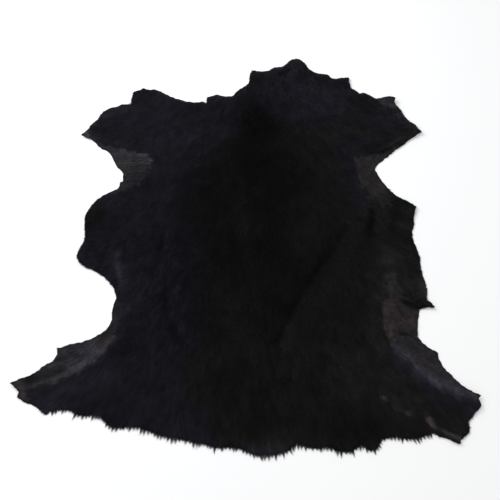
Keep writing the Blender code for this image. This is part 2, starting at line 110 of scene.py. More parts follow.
# Skin
LEATHER_THICK = 0.0024       # tanned skin alone
MIN_THICK = 0.0016           # thinnest place of the skin
UNDERCOAT = 0.45             # share of the coat's height that is dense underhair
EDGE_STEP = 0.004            # spacing of points along the cut edge
EDGE_STRAY = 0.0021          # how far the cut edge strays
EDGE_CLEAR = 0.6             # share of a step that stays free of points beside the cut edge
COAT_NET = 0.0115            # net of points under the coat
BARE_NET = 0.0030            # net of points where the skin shows
UNDER_NET = 0.030            # net of points on the underside
BARE_FROM = 0.02             # bareness from which the skin has the finer net
FILL_INSIDE = 1              # kind of triangulation: inside the outline alone
FILL_TOLERANCE = 1e-7
SCAR_BARENESS = 1.6          # how bare a scar is for its paleness
RIM_SHADE = 1.4              # how much darker bare skin is beside the cut edge, in doublings
WINDOW_SLOPE = 1.4           # how fast wrinkles grow from the rim of their patch
RIDGE_DRIFT = 4.0            # how far wrinkles wander, in radians of their wave
RIDGE_MEAN = 0.55            # mean height of the broken ridges, as a share
VALLEY_SLOPE, VALLEY_FROM = 1.6, 0.3  # how fast the painted shade of the valleys grows, and from what depth
MAP_MARGIN = 0.01            # free rim of the flat map

# Coat
HAIR_PITCH = 0.00375         # one lock to the next
HAIR_LENGTH = 0.023          # length of a lock on the body
RUMP_HAIR_LENGTH = 0.030     # and over the rump
RUMP_START, RUMP_BLEND = -0.45, 0.40  # y at which hair starts to be longer, and over what length
LENGTH_SPREAD = (0.72, 1.20)
HAIR_WIDTH = 0.0023
WIDTH_SPREAD = (0.75, 1.25)
HAIR_DEPTH = 0.0009
SIZE_SPREAD = (0.7, 1.3)     # of all other widths and depths
HAIR_SINK = 0.0008           # how deep the root sits in the underhair
HAIR_TURN = 0.13             # spread of a lock's direction, in radians
HAIR_ROLL = 0.30             # spread of its roll about its own length
COAT_SHADE = 0.30            # spread of its lightness, in doublings
TIP_RISE = 0.0016            # how far tips stand over the mean top of the coat
RISE_SPREAD = (-0.4, 1.0)
TIP_CLEAR = 0.0003           # least height of a tip over the skin at its root
LOWEST_TIP = 0.0012          # least height of a tip over the floor
TRIMS, TRIM = 3, 0.68        # how often hair too far past the rim is cut, and to what share
BARE_SHED = 1.05             # share of the hair that is gone from fully bare skin
BARE_SHORTER = 0.55          # how much shorter hair is there
BARE_FINER = 0.5             # how much finer and lower it is there
BARE_HAIR_PALE = 0.8         # how much paler it is there, in doublings
COAT_PIECES = 5              # the coat is cut into this many pieces from neck to rump
FLOW_REACH = 0.20            # how far one entry of the table of flows is felt
FLOW_LEAST = 1e-6            # and how much of it is felt everywhere
STREAK = np.array([1.0, 0.55])  # streaks are longer along the hide than across
MOTTLE_CELLS = 128           # random cells after which the blotches repeat

# Hair at the rim
RIM_TIP_HEIGHT = (0.0008, 0.0035)
RIM_HAIR_SHADE = 0.2         # spread of its lightness, in doublings
FRINGE_WIDTH, FRINGE_DEPTH = 0.0015, 0.0009
HAIRS_PER_LOCK = 28          # hairs that make up one solid lock of the rump's rim
LOCK_SHARE = (-0.1, 1.1)     # where its hairs start, from its left side to its right
FRINGE_ROOT = (0.003, 0.012)  # how far in they start
FRINGE_ROOT_HEIGHT = (0.5, 1.0)  # share of the skin's height at which they start
FRINGE_SPREAD = (0.0, 0.60)  # share of the lock's width that they keep at its tip
FRINGE_SHORTEST = 0.75       # shortest hair, as a share of the way to the lock's tip
FRINGE_STRETCH = (0.0, 0.60)  # how far the longest may reach past that tip, as a share too
FRINGE_STRAY = 0.0014
TUFT_WIDTH, TUFT_DEPTH = 0.0016, 0.0008
TUFT_SHARE = 0.70            # share of the places along the cut edge that have a tuft
TUFT_HAIRS = 6               # hairs of one such tuft
TUFT_BARE_LIMIT = (0.1, 0.7)  # bareness past which there is none
TUFT_LEAST_LEAN = 0.15       # least part of the hair's direction that has to point outwards
TUFT_OUTWARDS, TUFT_WITH_COAT = 0.5, 0.7  # how much tufts point outwards, and how much with the coat
TUFT_REACH = (0.003, 0.010)
TUFT_REACH_SPREAD = (0.5, 1.1)
TUFT_ROOT = (0.004, 0.012)   # how far in they start
TUFT_ROOT_HEIGHT = (0.4, 1.3)  # share of the leather's thickness at which they start
TUFT_ROOT_STRAY, TUFT_TIP_STRAY = 0.0022, 0.0008
SIDE_PROBE = 0.012           # how far to each side of the edge the cover is read

Crease = namedtuple("Crease", "name depth width path")
Stroke = namedtuple("Stroke", "name amount width path")
Flow = namedtuple("Flow", "x y heading")
Patch = namedtuple("Patch", "name bareness pinkness lightness soft outline")
Wrinkles = namedtuple("Wrinkles", "name x y length width turn pitch height shade")
Layer = namedtuple("Layer", "amount pitch seed")

# Random unevenness: how much, how wide one blotch is, and the seed of its draw.
STROKE_STRAY = (Layer(0.003, 0.013, 14),)
STROKE_FORCE = (Layer(0.3, 0.032, 15),)
PATCH_STRAY = (Layer(0.9, 0.024, 5), Layer(0.6, 0.009, 6))
SCAR_STRAY_X = (Layer(0.004, 0.02, 8),)
SCAR_STRAY_Y = (Layer(0.004, 0.02, 9),)
COOL_EDGE_STRAY = (Layer(0.05, 0.07, 11),)
COOL_BLOTCHES = (Layer(0.22, 0.055, 12),)
TONE_BLOTCHES = (Layer(0.14, 0.110, 21), Layer(0.24, 0.040, 22))
TONE_STREAKS = (Layer(0.36, 0.016, 23), Layer(0.42, 0.009, 24))
HEADING_STRAY = (Layer(0.16, 0.090, 31), Layer(0.14, 0.035, 32))
EDGE_WANDER = (Layer(1.0, 0.016, 41), Layer(0.9, 0.008, 42))
WRINKLE_DRIFT = (Layer(0.8, 0.05, 51), Layer(0.35, 0.02, 52))
WRINKLE_BREAKS = (Layer(0.45, 0.035, 53),)
SKIN_GRAIN = (Layer(0.0002, 0.007, 54),)
SKIN_BLOTCHES = (Layer(0.45, 0.040, 61), Layer(0.60, 0.013, 62))
PINK_BLOTCHES = (Layer(0.8, 0.028, 63),)

# Soft troughs in the coat. Negative depth is a ridge.
CREASES = (
    Crease("diagonal trough", 0.0046, 0.015,
           ((0.488, 0.12), (0.411, -0.011), (0.352, -0.077), (0.293, -0.176), (0.201, -0.318),
            (0.134, -0.484))),
    Crease("lower end of the trough", 0.0026, 0.03, ((0.134, -0.484), (0.045, -0.609), (-0.03, -0.715))),
    Crease("right shoulder crease", 0.0046, 0.011,
           ((0.606, 0.217), (0.592, 0.167), (0.575, 0.122), (0.572, 0.072), (0.574, 0.012))),
    Crease("left flank crease, lower", 0.0024, 0.012,
           ((-0.385, -0.2), (-0.389, -0.235), (-0.383, -0.352), (-0.35, -0.412), (-0.32, -0.465))),
    Crease("left flank crease, upper", 0.0014, 0.016,
           ((-0.41, 0.148), (-0.433, 0.012), (-0.445, -0.109))),
    Crease("left flank crease, slanting", 0.0012, 0.014,
           ((-0.494, -0.018), (-0.4, 0.04), (-0.312, 0.088))),
    Crease("left hind leg tuck", 0.0028, 0.008, ((-0.846, -0.546), (-0.8, -0.53), (-0.754, -0.519))),
    Crease("right flank tuck", 0.0028, 0.006,
           ((0.669, -0.433), (0.7, -0.437), (0.715, -0.446), (0.738, -0.462))),
    Crease("beside the tag", 0.0024, 0.012, ((0.69, -0.275), (0.735, -0.285), (0.775, -0.295))),
)

# Lines that show in the coat and in bare skin: amount is in doublings of lightness. They are
# painted shade in creases, tucks and folds, and painted sheen along the ridges of the hind legs.
LINES = (
    Stroke("diagonal trough, upper", -1.6, 0.0085, ((0.474, 0.133), (0.435, 0.067), (0.405, 0.015))),
    Stroke("diagonal trough, middle", -1.55, 0.011, ((0.398, 0.0), (0.338, -0.066), (0.308, -0.115))),
    Stroke("diagonal trough, below the middle", -0.95, 0.01,
           ((0.3, -0.133), (0.281, -0.165), (0.244, -0.222))),
    Stroke("diagonal trough, lower", -0.85, 0.008, ((0.226, -0.25), (0.19, -0.308), (0.166, -0.38))),
    Stroke("diagonal trough, end", -1.0, 0.013, ((0.15, -0.42), (0.12, -0.478))),
    Stroke("sides of the diagonal trough", -0.3, 0.026,
           ((0.44, 0.075), (0.398, 0.0), (0.277, -0.165), (0.185, -0.308), (0.122, -0.465))),
    Stroke("tuck beside the neck's tip", -2.4, 0.007, ((0.165, 1.145), (0.192, 1.155), (0.218, 1.174))),
    Stroke("link between the two creases", -0.4, 0.009, ((0.568, 0.178), (0.5, 0.15))),
    Stroke("right shoulder crease", -2.2, 0.007, ((0.604, 0.222), (0.596, 0.165), (0.584, 0.12))),
    Stroke("right shoulder crease, fading", -1.1, 0.006, ((0.582, 0.11), (0.576, 0.012))),
    Stroke("left flank crease, lower", -1.1, 0.008,
           ((-0.385, -0.2), (-0.389, -0.235), (-0.383, -0.352), (-0.35, -0.412), (-0.32, -0.465))),
    Stroke("left flank crease, upper", -0.7, 0.008, ((-0.41, 0.148), (-0.433, 0.012), (-0.445, -0.109))),
    Stroke("left flank crease, slanting", -0.4, 0.01, ((-0.494, -0.018), (-0.312, 0.088))),
    Stroke("left flank crease, second slant", -0.35, 0.009, ((-0.47, -0.34), (-0.4, -0.26))),
    # painted sheen along the ridges of the hind legs
    Stroke("left hind leg ridge", 1.05, 0.015,
           ((-0.921, -0.66), (-0.837, -0.644), (-0.737, -0.593), (-0.665, -0.542), (-0.64, -0.504),
            (-0.602, -0.447))),
    Stroke("right hind leg ridge", 0.9, 0.017,
           ((0.632, -0.512), (0.688, -0.556), (0.748, -0.63), (0.786, -0.658), (0.868, -0.684),
            (0.948, -0.725))),
    Stroke("tuck in the right flank", -1.5, 0.004,
           ((0.669, -0.433), (0.7, -0.437), (0.715, -0.446), (0.745, -0.464))),
    Stroke("shadow beside the tag", -1.5, 0.013, ((0.705, -0.278), (0.74, -0.286), (0.775, -0.3))),
    Stroke("dark line down the right flank", -0.7, 0.005, ((0.655, -0.23), (0.668, -0.3), (0.7, -0.36))),
    Stroke("tuck in the left hind leg", -1.5, 0.006, ((-0.846, -0.556), (-0.754, -0.529))),
    Stroke("second line in the left hind leg", -0.9, 0.004, ((-0.801, -0.57), (-0.744, -0.537))),
    Stroke("third line in the left hind leg", -0.8, 0.004, ((-0.772, -0.588), (-0.702, -0.528))),
    # painted shade below the ridge of the left hind leg, between its rim and its sheen
    Stroke("shade below the left hind leg ridge", -3.0, 0.015,
           ((-0.95, -0.648), (-0.884, -0.628), (-0.82, -0.606))),
    Stroke("dark joint of the left hind leg", -0.8, 0.009, ((-0.62, -0.395), (-0.65, -0.45))),
    Stroke("left armpit line, upper", -1.2, 0.0035, ((-0.59, 0.55), (-0.56, 0.549), (-0.51, 0.556))),
    Stroke("left armpit line, second", -1.0, 0.003, ((-0.6, 0.525), (-0.56, 0.53), (-0.515, 0.522))),
    Stroke("left armpit line, middle", -1.2, 0.0035, ((-0.59, 0.495), (-0.56, 0.502), (-0.515, 0.498))),
    Stroke("left armpit arc, outer", -1.4, 0.004,
           ((-0.64, 0.408), (-0.622, 0.44), (-0.585, 0.452), (-0.538, 0.448))),
    Stroke("left armpit arc, inner", -1.2, 0.0035, ((-0.61, 0.42), (-0.585, 0.434), (-0.538, 0.428))),
    Stroke("left armpit line, lower", -1.5, 0.005, ((-0.655, 0.392), (-0.6, 0.402), (-0.55, 0.398))),
    Stroke("left armpit line, lowest", -1.0, 0.0035, ((-0.64, 0.37), (-0.6, 0.382), (-0.565, 0.372))),
)

# Lighter and darker parts of the coat, in doublings too: partly the hair's own tone, partly painted
# sheen where the lying hair catches the light and painted shade where it does not, as along the spine.
TONES = (
    Stroke("lower end of the trough", -0.4, 0.024, ((0.13, -0.43), (0.06, -0.56), (0.0, -0.65))),
    Stroke("second line beside the lower end", -0.35, 0.022,
           ((0.13, -0.56), (0.06, -0.72), (0.02, -0.88))),
    # painted shade along the spine, where the lying hair catches no sheen
    Stroke("spine over the shoulders", -1.05, 0.055, ((0.06, 0.85), (0.06, 0.8), (0.04, 0.74))),
    Stroke("spine over the shoulders, lower", -0.3, 0.045, ((-0.026, 0.605), (0.092, 0.462))),
    Stroke("beside the spine over the shoulders", -0.5, 0.035, ((0.1, 0.79), (0.19, 0.75))),
    Stroke("dark shoulders", -0.75, 0.085, ((0.02, 0.82), (0.015, 0.6), (0.06, 0.33))),
    Stroke("right of the spine", -0.38, 0.07, ((0.19, 0.54), (0.185, 0.33))),
    Stroke("spine", -0.35, 0.07, ((0.06, 0.74), (0.06, 0.5), (0.05, 0.3), (0.06, 0.05))),
    Stroke("spine, lower", -0.3, 0.055, ((0.08, 0.0), (0.07, -0.2), (0.06, -0.4))),
    Stroke("middle of the back, right", -0.45, 0.08, ((0.15, 0.15), (0.14, -0.05), (0.16, -0.18))),
    Stroke("middle of the back, left", -0.55, 0.07, ((-0.05, 0.0), (-0.08, -0.13))),
    Stroke("beside the dark spine", 0.55, 0.035, ((-0.05, 0.26), (-0.03, 0.13), (-0.01, 0.02))),
    Stroke("dark band left of the spine", -0.35, 0.035, ((-0.22, 0.14), (-0.15, 0.16), (-0.06, 0.23))),
    Stroke("right of the shoulders", -0.25, 0.05, ((0.26, 0.42), (0.25, 0.33))),
    Stroke("beside the right armpit", 0.2, 0.04, ((0.47, 0.42), (0.47, 0.3))),
    Stroke("right loin", -0.25, 0.05, ((0.43, -0.33), (0.43, -0.42))),
    Stroke("left loin, lower", -0.25, 0.04, ((-0.33, -0.33), (-0.21, -0.44))),
    Stroke("spot on the left rump", -0.3, 0.035, ((-0.065, -0.7), (-0.07, -0.64))),
    Stroke("left belly, upper", 0.22, 0.08, ((-0.56, 0.26), (-0.48, 0.15))),
    Stroke("left loin", -0.35, 0.08, ((-0.28, 0.24), (-0.25, 0.02), (-0.224, -0.36))),
    Stroke("left of the spine", -0.45, 0.08, ((-0.1, 0.6), (-0.2, 0.45), (-0.18, 0.25), (-0.12, 0.05))),
    Stroke("across the loin", -0.3, 0.035, ((0.0, -0.29), (0.11, -0.31), (0.219, -0.3))),
    Stroke("left shoulder, lowest", -0.28, 0.045, ((-0.356, 0.412), (-0.262, 0.349))),
    Stroke("under the left armpit", 0.3, 0.035, ((-0.648, 0.262), (-0.389, 0.262))),
    Stroke("left flank", 0.25, 0.05, ((-0.553, -0.33), (-0.386, -0.32))),
    Stroke("left rump", 0.25, 0.06, ((-0.426, -0.695), (-0.254, -0.715))),
    Stroke("left rump's rim", 0.5, 0.022, ((-0.37, -0.88), (-0.34, -0.88))),
    Stroke("left of the trough's end", 0.45, 0.022, ((0.031, -0.53), (0.031, -0.5))),
    Stroke("above the scars", 0.35, 0.035, ((0.589, -0.755), (0.661, -0.79))),
    Stroke("spot in the right loin", -0.3, 0.03, ((0.572, -0.67), (0.582, -0.66))),
    Stroke("left of the shoulders", -0.3, 0.07, ((-0.09, 0.46), (-0.11, 0.37))),
    Stroke("blotch on the right rump", -0.45, 0.05, ((0.4, -0.85), (0.54, -0.85))),
    Stroke("spot on the left belly", -0.9, 0.03, ((-0.76, 0.2), (-0.81, 0.11))),
    Stroke("rump", 0.42, 0.13, ((-0.45, -0.74), (0.0, -0.86), (0.35, -0.78), (0.7, -0.8))),
    Stroke("middle of the rump", 0.3, 0.07, ((-0.15, -0.9), (0.08, -0.96), (0.22, -0.86))),
    Stroke("over the rump", 0.28, 0.13, ((-0.2, -0.58), (0.08, -0.54), (0.34, -0.6))),
    Stroke("right flank", 0.4, 0.11, ((0.52, 0.2), (0.5, -0.15), (0.45, -0.48))),
    Stroke("right belly, low", 0.55, 0.034,
           ((0.612, -0.095), (0.606, -0.22), (0.568, -0.315), (0.572, -0.48))),
    Stroke("right belly, rim", 0.6, 0.024, ((0.812, -0.175), (0.806, -0.26))),
    Stroke("right belly, across", 0.55, 0.035, ((0.64, -0.205), (0.74, -0.2), (0.83, -0.195))),
    Stroke("right belly, high", -0.5, 0.04, ((0.69, 0.05), (0.75, 0.05))),
    Stroke("right belly", 0.75, 0.06, ((0.7, 0.0), (0.75, -0.22))),
    Stroke("upper right belly", 0.5, 0.05, ((0.64, 0.23), (0.7, 0.15), (0.74, 0.19))),
    Stroke("right foreleg", 0.45, 0.11, ((0.52, 0.86), (0.8, 0.76))),
    Stroke("right foreleg, lower", 0.3, 0.05, ((0.48, 0.69), (0.78, 0.7))),
    Stroke("right foreleg, outer edge", 0.9, 0.03, ((0.81, 0.84), (0.88, 0.755))),
    Stroke("right shoulder", 0.35, 0.07, ((0.411, 0.65), (0.411, 0.4))),
    Stroke("left shoulder", 0.25, 0.18, ((-0.6, 0.85), (-0.18, 0.78))),
    Stroke("beside the dark shoulders", 0.25, 0.07, ((-0.33, 0.72), (-0.15, 0.7))),
    Stroke("left shoulder, lower", 0.38, 0.07, ((-0.493, 0.917), (-0.47, 0.6), (-0.44, 0.443))),
    Stroke("left foreleg", 0.15, 0.08, ((-0.7, 0.8), (-0.85, 0.73))),
    Stroke("left foreleg, top", 0.4, 0.04, ((-0.848, 0.765), (-0.735, 0.87))),
    Stroke("neck's left corner", 0.45, 0.018, ((0.015, 1.05), (0.034, 1.1), (0.055, 1.125))),
    Stroke("neck, middle", 0.25, 0.045, ((0.137, 0.917), (0.137, 0.89))),
    Stroke("neck", 0.45, 0.12, ((0.18, 1.08), (0.4, 0.98), (0.25, 0.88))),
    Stroke("neck, tip", 0.95, 0.03, ((0.22, 1.19), (0.26, 1.23))),
    Stroke("left hind leg", 0.85, 0.075, ((-0.9, -0.72), (-0.78, -0.69), (-0.67, -0.65))),
    Stroke("left hind leg, upper", 0.35, 0.04, ((-0.69, -0.64), (-0.8, -0.65))),
    Stroke("right hind leg, upper", 0.35, 0.03, ((0.6, -0.54), (0.68, -0.61))),
    Stroke("right hind leg, tip", 0.4, 0.04, ((0.9, -0.76), (0.95, -0.79))),
    Stroke("lowest point of the rump", 1.2, 0.028, ((0.03, -0.94), (0.11, -0.935))),
    Stroke("right hind leg", 0.7, 0.1, ((0.54, -0.66), (0.74, -0.72), (0.93, -0.8))),
    Stroke("right belly streak", 0.7, 0.026, ((0.64, 0.02), (0.648, -0.1), (0.655, -0.25))),
    Stroke("left belly", 0.25, 0.045, ((-0.651, 0.06), (-0.63, -0.12))),
    Stroke("by the left belly streak", 0.5, 0.034, ((-0.57, -0.11), (-0.56, -0.175), (-0.48, -0.195))),
    Stroke("left belly streak", 0.85, 0.013, ((-0.63, -0.03), (-0.608, -0.139), (-0.592, -0.23))),
    Stroke("beside the left flank", 0.5, 0.035, ((-0.556, -0.31), (-0.556, -0.37))),
)

# The cool cast, a painted bluish sheen, besides that of the left side. A negative amount takes it away.
COOL_STREAKS = (
    Stroke("neck", 1.0, 0.13, ((0.15, 1.1), (0.45, 1.0))),
    Stroke("neck's left corner", -1.0, 0.022, ((0.015, 1.05), (0.034, 1.1), (0.055, 1.125))),
    Stroke("under the neck", 0.9, 0.07, ((0.15, 0.9), (0.32, 0.85))),
    Stroke("right foreleg", 0.8, 0.055, ((0.66, 0.86), (0.78, 0.8))),
    Stroke("right foreleg, lower", 0.7, 0.03, ((0.5, 0.62), (0.62, 0.66))),
    Stroke("beside the right armpit", 0.8, 0.035, ((0.49, 0.58), (0.53, 0.4), (0.56, 0.25))),
    Stroke("right hind leg ridge", 0.8, 0.018, ((0.64, -0.515), (0.754, -0.636), (0.944, -0.727))),
    Stroke("right hind leg", 0.6, 0.03, ((0.66, -0.6), (0.79, -0.71), (0.93, -0.78))),
    Stroke("spot on the left belly", -1.0, 0.034, ((-0.76, 0.2), (-0.81, 0.11))),
    Stroke("left hind leg ridge", -0.6, 0.014, ((-0.921, -0.66), (-0.837, -0.644), (-0.737, -0.593))),
    # no bluish sheen in the painted shade below the left hind leg's ridge
    Stroke("shade below the left hind leg ridge", -0.9, 0.025, ((-0.95, -0.648), (-0.82, -0.606))),
    Stroke("left rump", -0.5, 0.035, ((-0.26, -0.56), (-0.24, -0.64))),
    Stroke("lowest point of the rump", 0.7, 0.03, ((0.0, -0.94), (0.11, -0.93))),
    Stroke("rump's rim", 0.6, 0.03, ((0.25, -0.98), (0.4, -0.96), (0.52, -0.93))),
)

# Where the coat is thin or gone: bareness from 0 to 1, pinkness from 0 (grey) to 1, and
# lightness of the skin in doublings.
PATCHES = (
    Patch("left armpit", 0.93, 0.3, -0.6, 0.012,
          ((-0.89, 0.7), (-0.81, 0.68), (-0.74, 0.64), (-0.66, 0.61), (-0.57, 0.588),
           (-0.502, 0.562), (-0.5, 0.53), (-0.52, 0.5), (-0.535, 0.47), (-0.68, 0.45),
           (-0.72, 0.52), (-0.9, 0.65))),
    Patch("left foreleg, underside", 0.85, 0.1, -0.9, 0.012,
          ((-0.88, 0.7), (-0.81, 0.68), (-0.74, 0.64), (-0.7, 0.59), (-0.76, 0.56),
           (-0.9, 0.65))),
    Patch("left armpit, light corner", 0.93, 0.1, 0.2, 0.018,
          ((-0.6, 0.58), (-0.523, 0.589), (-0.498, 0.55), (-0.502, 0.511), (-0.55, 0.49),
           (-0.59, 0.53))),
    Patch("left armpit, lower part", 0.75, 0.2, -1.05, 0.016,
          ((-0.7, 0.48), (-0.52, 0.49), (-0.53, 0.45), (-0.55, 0.4), (-0.58, 0.37),
           (-0.65, 0.35), (-0.7, 0.38))),
    Patch("left armpit, red edge", 0.75, 1.0, -1.0, 0.008,
          ((-0.68, 0.45), (-0.645, 0.445), (-0.62, 0.4), (-0.612, 0.35), (-0.69, 0.33))),
    Patch("left armpit, pink band", 0.93, 0.9, -0.3, 0.012,
          ((-0.68, 0.545), (-0.62, 0.54), (-0.6, 0.525), (-0.64, 0.5), (-0.7, 0.5))),
    Patch("left armpit, raw spot", 0.93, 1.0, -0.2, 0.014,
          ((-0.65, 0.57), (-0.61, 0.58), (-0.59, 0.565), (-0.605, 0.545), (-0.64, 0.55))),
    Patch("left foreleg tip", 0.9, 0.9, 0.1, 0.01,
          ((-0.91, 0.69), (-0.89, 0.74), (-0.85, 0.735), (-0.84, 0.695), (-0.87, 0.67))),
    Patch("right armpit", 0.93, 0.8, -0.75, 0.012,
          ((0.528, 0.555), (0.57, 0.556), (0.64, 0.56), (0.72, 0.54), (0.66, 0.48),
           (0.7, 0.35), (0.67, 0.33), (0.64, 0.32), (0.61, 0.3), (0.592, 0.32),
           (0.575, 0.345), (0.562, 0.39), (0.548, 0.44), (0.54, 0.48), (0.533, 0.52))),
    Patch("right foreleg, underside", 0.85, 0.15, -0.25, 0.012,
          ((0.528, 0.545), (0.57, 0.56), (0.63, 0.574), (0.7, 0.589), (0.76, 0.627),
           (0.8, 0.654), (0.86, 0.698), (0.93, 0.7), (0.72, 0.538), (0.62, 0.545),
           (0.545, 0.54))),
    Patch("right armpit, thin hair below", 0.55, 0.7, -0.95, 0.024,
          ((0.575, 0.34), (0.65, 0.345), (0.71, 0.33), (0.69, 0.27), (0.6, 0.255))),
    Patch("right armpit, light corner", 0.93, 0.25, -0.1, 0.008,
          ((0.53, 0.56), (0.6, 0.566), (0.61, 0.55), (0.562, 0.54), (0.544, 0.508), (0.53, 0.52))),
    Patch("right armpit, light spot at the rim", 0.93, 0.0, -0.3, 0.009,
          ((0.59, 0.51), (0.64, 0.52), (0.66, 0.48), (0.62, 0.455), (0.6, 0.48))),
    Patch("right armpit, raw spot", 0.93, 1.0, -0.85, 0.012,
          ((0.62, 0.44), (0.67, 0.43), (0.7, 0.37), (0.64, 0.36), (0.62, 0.4))),
    Patch("right flank", 0.9, 0.85, -0.35, 0.009,
          ((0.605, -0.265), (0.63, -0.25), (0.68, -0.262), (0.74, -0.3), (0.8, -0.32),
           (0.78, -0.47), (0.74, -0.48), (0.69, -0.46), (0.64, -0.48), (0.608, -0.47),
           (0.6, -0.4), (0.594, -0.33))),
    Patch("right flank, sallow corner", 0.9, 0.85, 0.15, 0.014,
          ((0.605, -0.43), (0.645, -0.44), (0.66, -0.47), (0.64, -0.5), (0.61, -0.49))),
    Patch("over the right flank", 0.55, 0.8, -0.35, 0.022,
          ((0.61, -0.18), (0.66, -0.13), (0.7, -0.2), (0.71, -0.275), (0.615, -0.28))),
    Patch("right hind leg, outer side", 0.88, 0.2, -0.3, 0.012,
          ((0.62, -0.49), (0.66, -0.528), (0.7, -0.565), (0.756, -0.64), (0.79, -0.668),
           (0.87, -0.692), (0.96, -0.732), (1.0, -0.72), (0.88, -0.6), (0.85, -0.5),
           (0.74, -0.455), (0.67, -0.44))),
    Patch("right hind leg, pale end", 0.88, 0.1, 0.3, 0.014,
          ((0.8, -0.678), (0.85, -0.674), (0.94, -0.706), (0.985, -0.738), (0.87, -0.712))),
    Patch("left hind leg, outer side", 0.8, 0.05, -0.1, 0.012,
          ((-0.592, -0.448), (-0.63, -0.509), (-0.658, -0.551), (-0.728, -0.606), (-0.83, -0.658),
           (-0.921, -0.668), (-1.0, -0.672), (-1.04, -0.64), (-0.86, -0.52), (-0.64, -0.4),
           (-0.59, -0.4))),
    Patch("left hind leg, brown band", 0.9, 1.0, -1.5, 0.009,
          ((-0.655, -0.4), (-0.605, -0.425), (-0.64, -0.505), (-0.672, -0.512), (-0.672, -0.46))),
    Patch("left flank strip", 0.8, 1.0, -1.9, 0.01,
          ((-0.64, -0.19), (-0.606, -0.215), (-0.594, -0.27), (-0.585, -0.34), (-0.59, -0.4),
           (-0.602, -0.44), (-0.7, -0.46), (-0.65, -0.3))),
    Patch("left hind leg tip", 0.85, 0.95, -0.2, 0.012,
          ((-1.05, -0.66), (-0.96, -0.65), (-0.935, -0.69), (-0.91, -0.74), (-0.87, -0.79),
           (-0.93, -0.82), (-1.02, -0.75))),
    Patch("right hind leg tip", 0.6, 0.6, -0.1, 0.012,
          ((0.95, -0.74), (0.985, -0.73), (1.0, -0.78), (0.96, -0.86), (0.945, -0.8))),
    Patch("turned-up corner", 0.75, 0.05, -0.25, 0.01,
          ((0.69, 0.93), (0.72, 0.905), (0.75, 0.888), (0.785, 0.88), (0.83, 0.878),
           (0.82, 0.97), (0.74, 0.985), (0.7, 0.98))),
    Patch("turned-up corner, lightest", 0.85, 0.05, 0.8, 0.011,
          ((0.705, 0.915), (0.735, 0.892), (0.785, 0.88), (0.8, 0.905), (0.745, 0.918))),
)

# Scars, bare and pale: amount is their paleness.
SCARS = (
    Stroke("scar by the flank", 1.2, 0.0062, ((0.556, -0.712), (0.566, -0.722))),
    Stroke("nick", 0.9, 0.0045, ((0.594, -0.751), (0.601, -0.756))),
    Stroke("short scratch", 1.1, 0.005, ((0.643, -0.777), (0.658, -0.78))),
    Stroke("large scar", 0.75, 0.0115, ((0.735, -0.812), (0.748, -0.824))),
    Stroke("tail of the large scar", 0.5, 0.0085, ((0.757, -0.838), (0.81, -0.868), (0.858, -0.898))),
)

# Way in which the hair lies, in degrees from +X: towards the rump on the back, outwards below.
FLOWS = (
    Flow(0.25, 1.25, -95.0),
    Flow(-0.05, 1.05, -110.0),
    Flow(0.52, 1.1, -65.0),
    Flow(0.08, 0.85, -92.0),
    Flow(-0.35, 0.9, -118.0),
    Flow(0.5, 0.9, -62.0),
    Flow(-0.65, 0.85, -160.0),
    Flow(0.72, 0.85, -25.0),
    Flow(-0.88, 0.7, -155.0),
    Flow(0.9, 0.72, -30.0),
    Flow(-0.5, 0.5, -128.0),
    Flow(0.52, 0.5, -52.0),
    Flow(0.02, 0.45, -90.0),
    Flow(-0.78, 0.1, -150.0),
    Flow(0.77, 0.1, -35.0),
    Flow(-0.45, 0.05, -116.0),
    Flow(0.45, 0.05, -66.0),
    Flow(0.0, -0.1, -90.0),
    Flow(-0.56, -0.3, -122.0),
    Flow(0.6, -0.25, -60.0),
    Flow(-0.3, -0.45, -108.0),
    Flow(0.32, -0.45, -74.0),
    Flow(-0.95, -0.68, -162.0),
    Flow(0.93, -0.72, -28.0),
    Flow(-0.6, -0.7, -124.0),
    Flow(0.65, -0.78, -58.0),
    Flow(0.0, -0.9, -90.0),
)

# Fine wrinkles of the bare skin: middle, half length and half width of their patch, direction of
# the ridges in degrees, their spacing and height, and how much painted shade darkens the valleys, in
# doublings.
WRINKLES = (
    Wrinkles("left armpit", -0.58, 0.47, 0.14, 0.11, 4.0, 0.015, 0.0011, 1.6),
    Wrinkles("left foreleg underside", -0.74, 0.6, 0.12, 0.05, -35.0, 0.014, 0.0005, 0.8),
    Wrinkles("right armpit", 0.62, 0.44, 0.12, 0.07, -40.0, 0.015, 0.0006, 0.9),
    Wrinkles("right armpit, across", 0.62, 0.4, 0.1, 0.07, 30.0, 0.018, 0.0004, 0.6),
    Wrinkles("right flank", 0.69, -0.34, 0.09, 0.09, -28.0, 0.013, 0.0006, 0.9),
    Wrinkles("right flank, across", 0.66, -0.4, 0.08, 0.08, 18.0, 0.012, 0.0004, 0.7),
    Wrinkles("over the right flank", 0.66, -0.16, 0.08, 0.05, -30.0, 0.012, 0.0005, 0.8),
    Wrinkles("right hind leg", 0.78, -0.56, 0.16, 0.055, -42.0, 0.017, 0.0004, 0.5),
    Wrinkles("left hind leg", -0.76, -0.54, 0.16, 0.06, 38.0, 0.016, 0.001, 1.4),
)

# The left side has a cool cast, a painted bluish sheen: the line where it ends, from neck to rump,
# and how soft it is.
COOL_EDGE = ((1.3, 0.1), (0.95, 0.0), (0.86, -0.03), (0.62, -0.12), (0.5, -0.22),
             (0.19, -0.27), (-0.06, -0.18), (-0.29, -0.19), (-0.67, -0.25), (-1.0, -0.1))
COOL_SOFT = 0.07


def smooth(share):
    """Ease from 0 to 1."""
    share = np.clip(share, 0.0, 1.0)
    return share * share * (3.0 - 2.0 * share)


def between(values, column, row, right, over, part):
    """Values read between four cells, each a part of the way from one cell to the next."""
    lower = values[column, row] * (1.0 - part[:, 0]) + values[right, row] * part[:, 0]
    upper = values[column, over] * (1.0 - part[:, 0]) + values[right, over] * part[:, 0]
    return lower * (1.0 - part[:, 1]) + upper * part[:, 1]


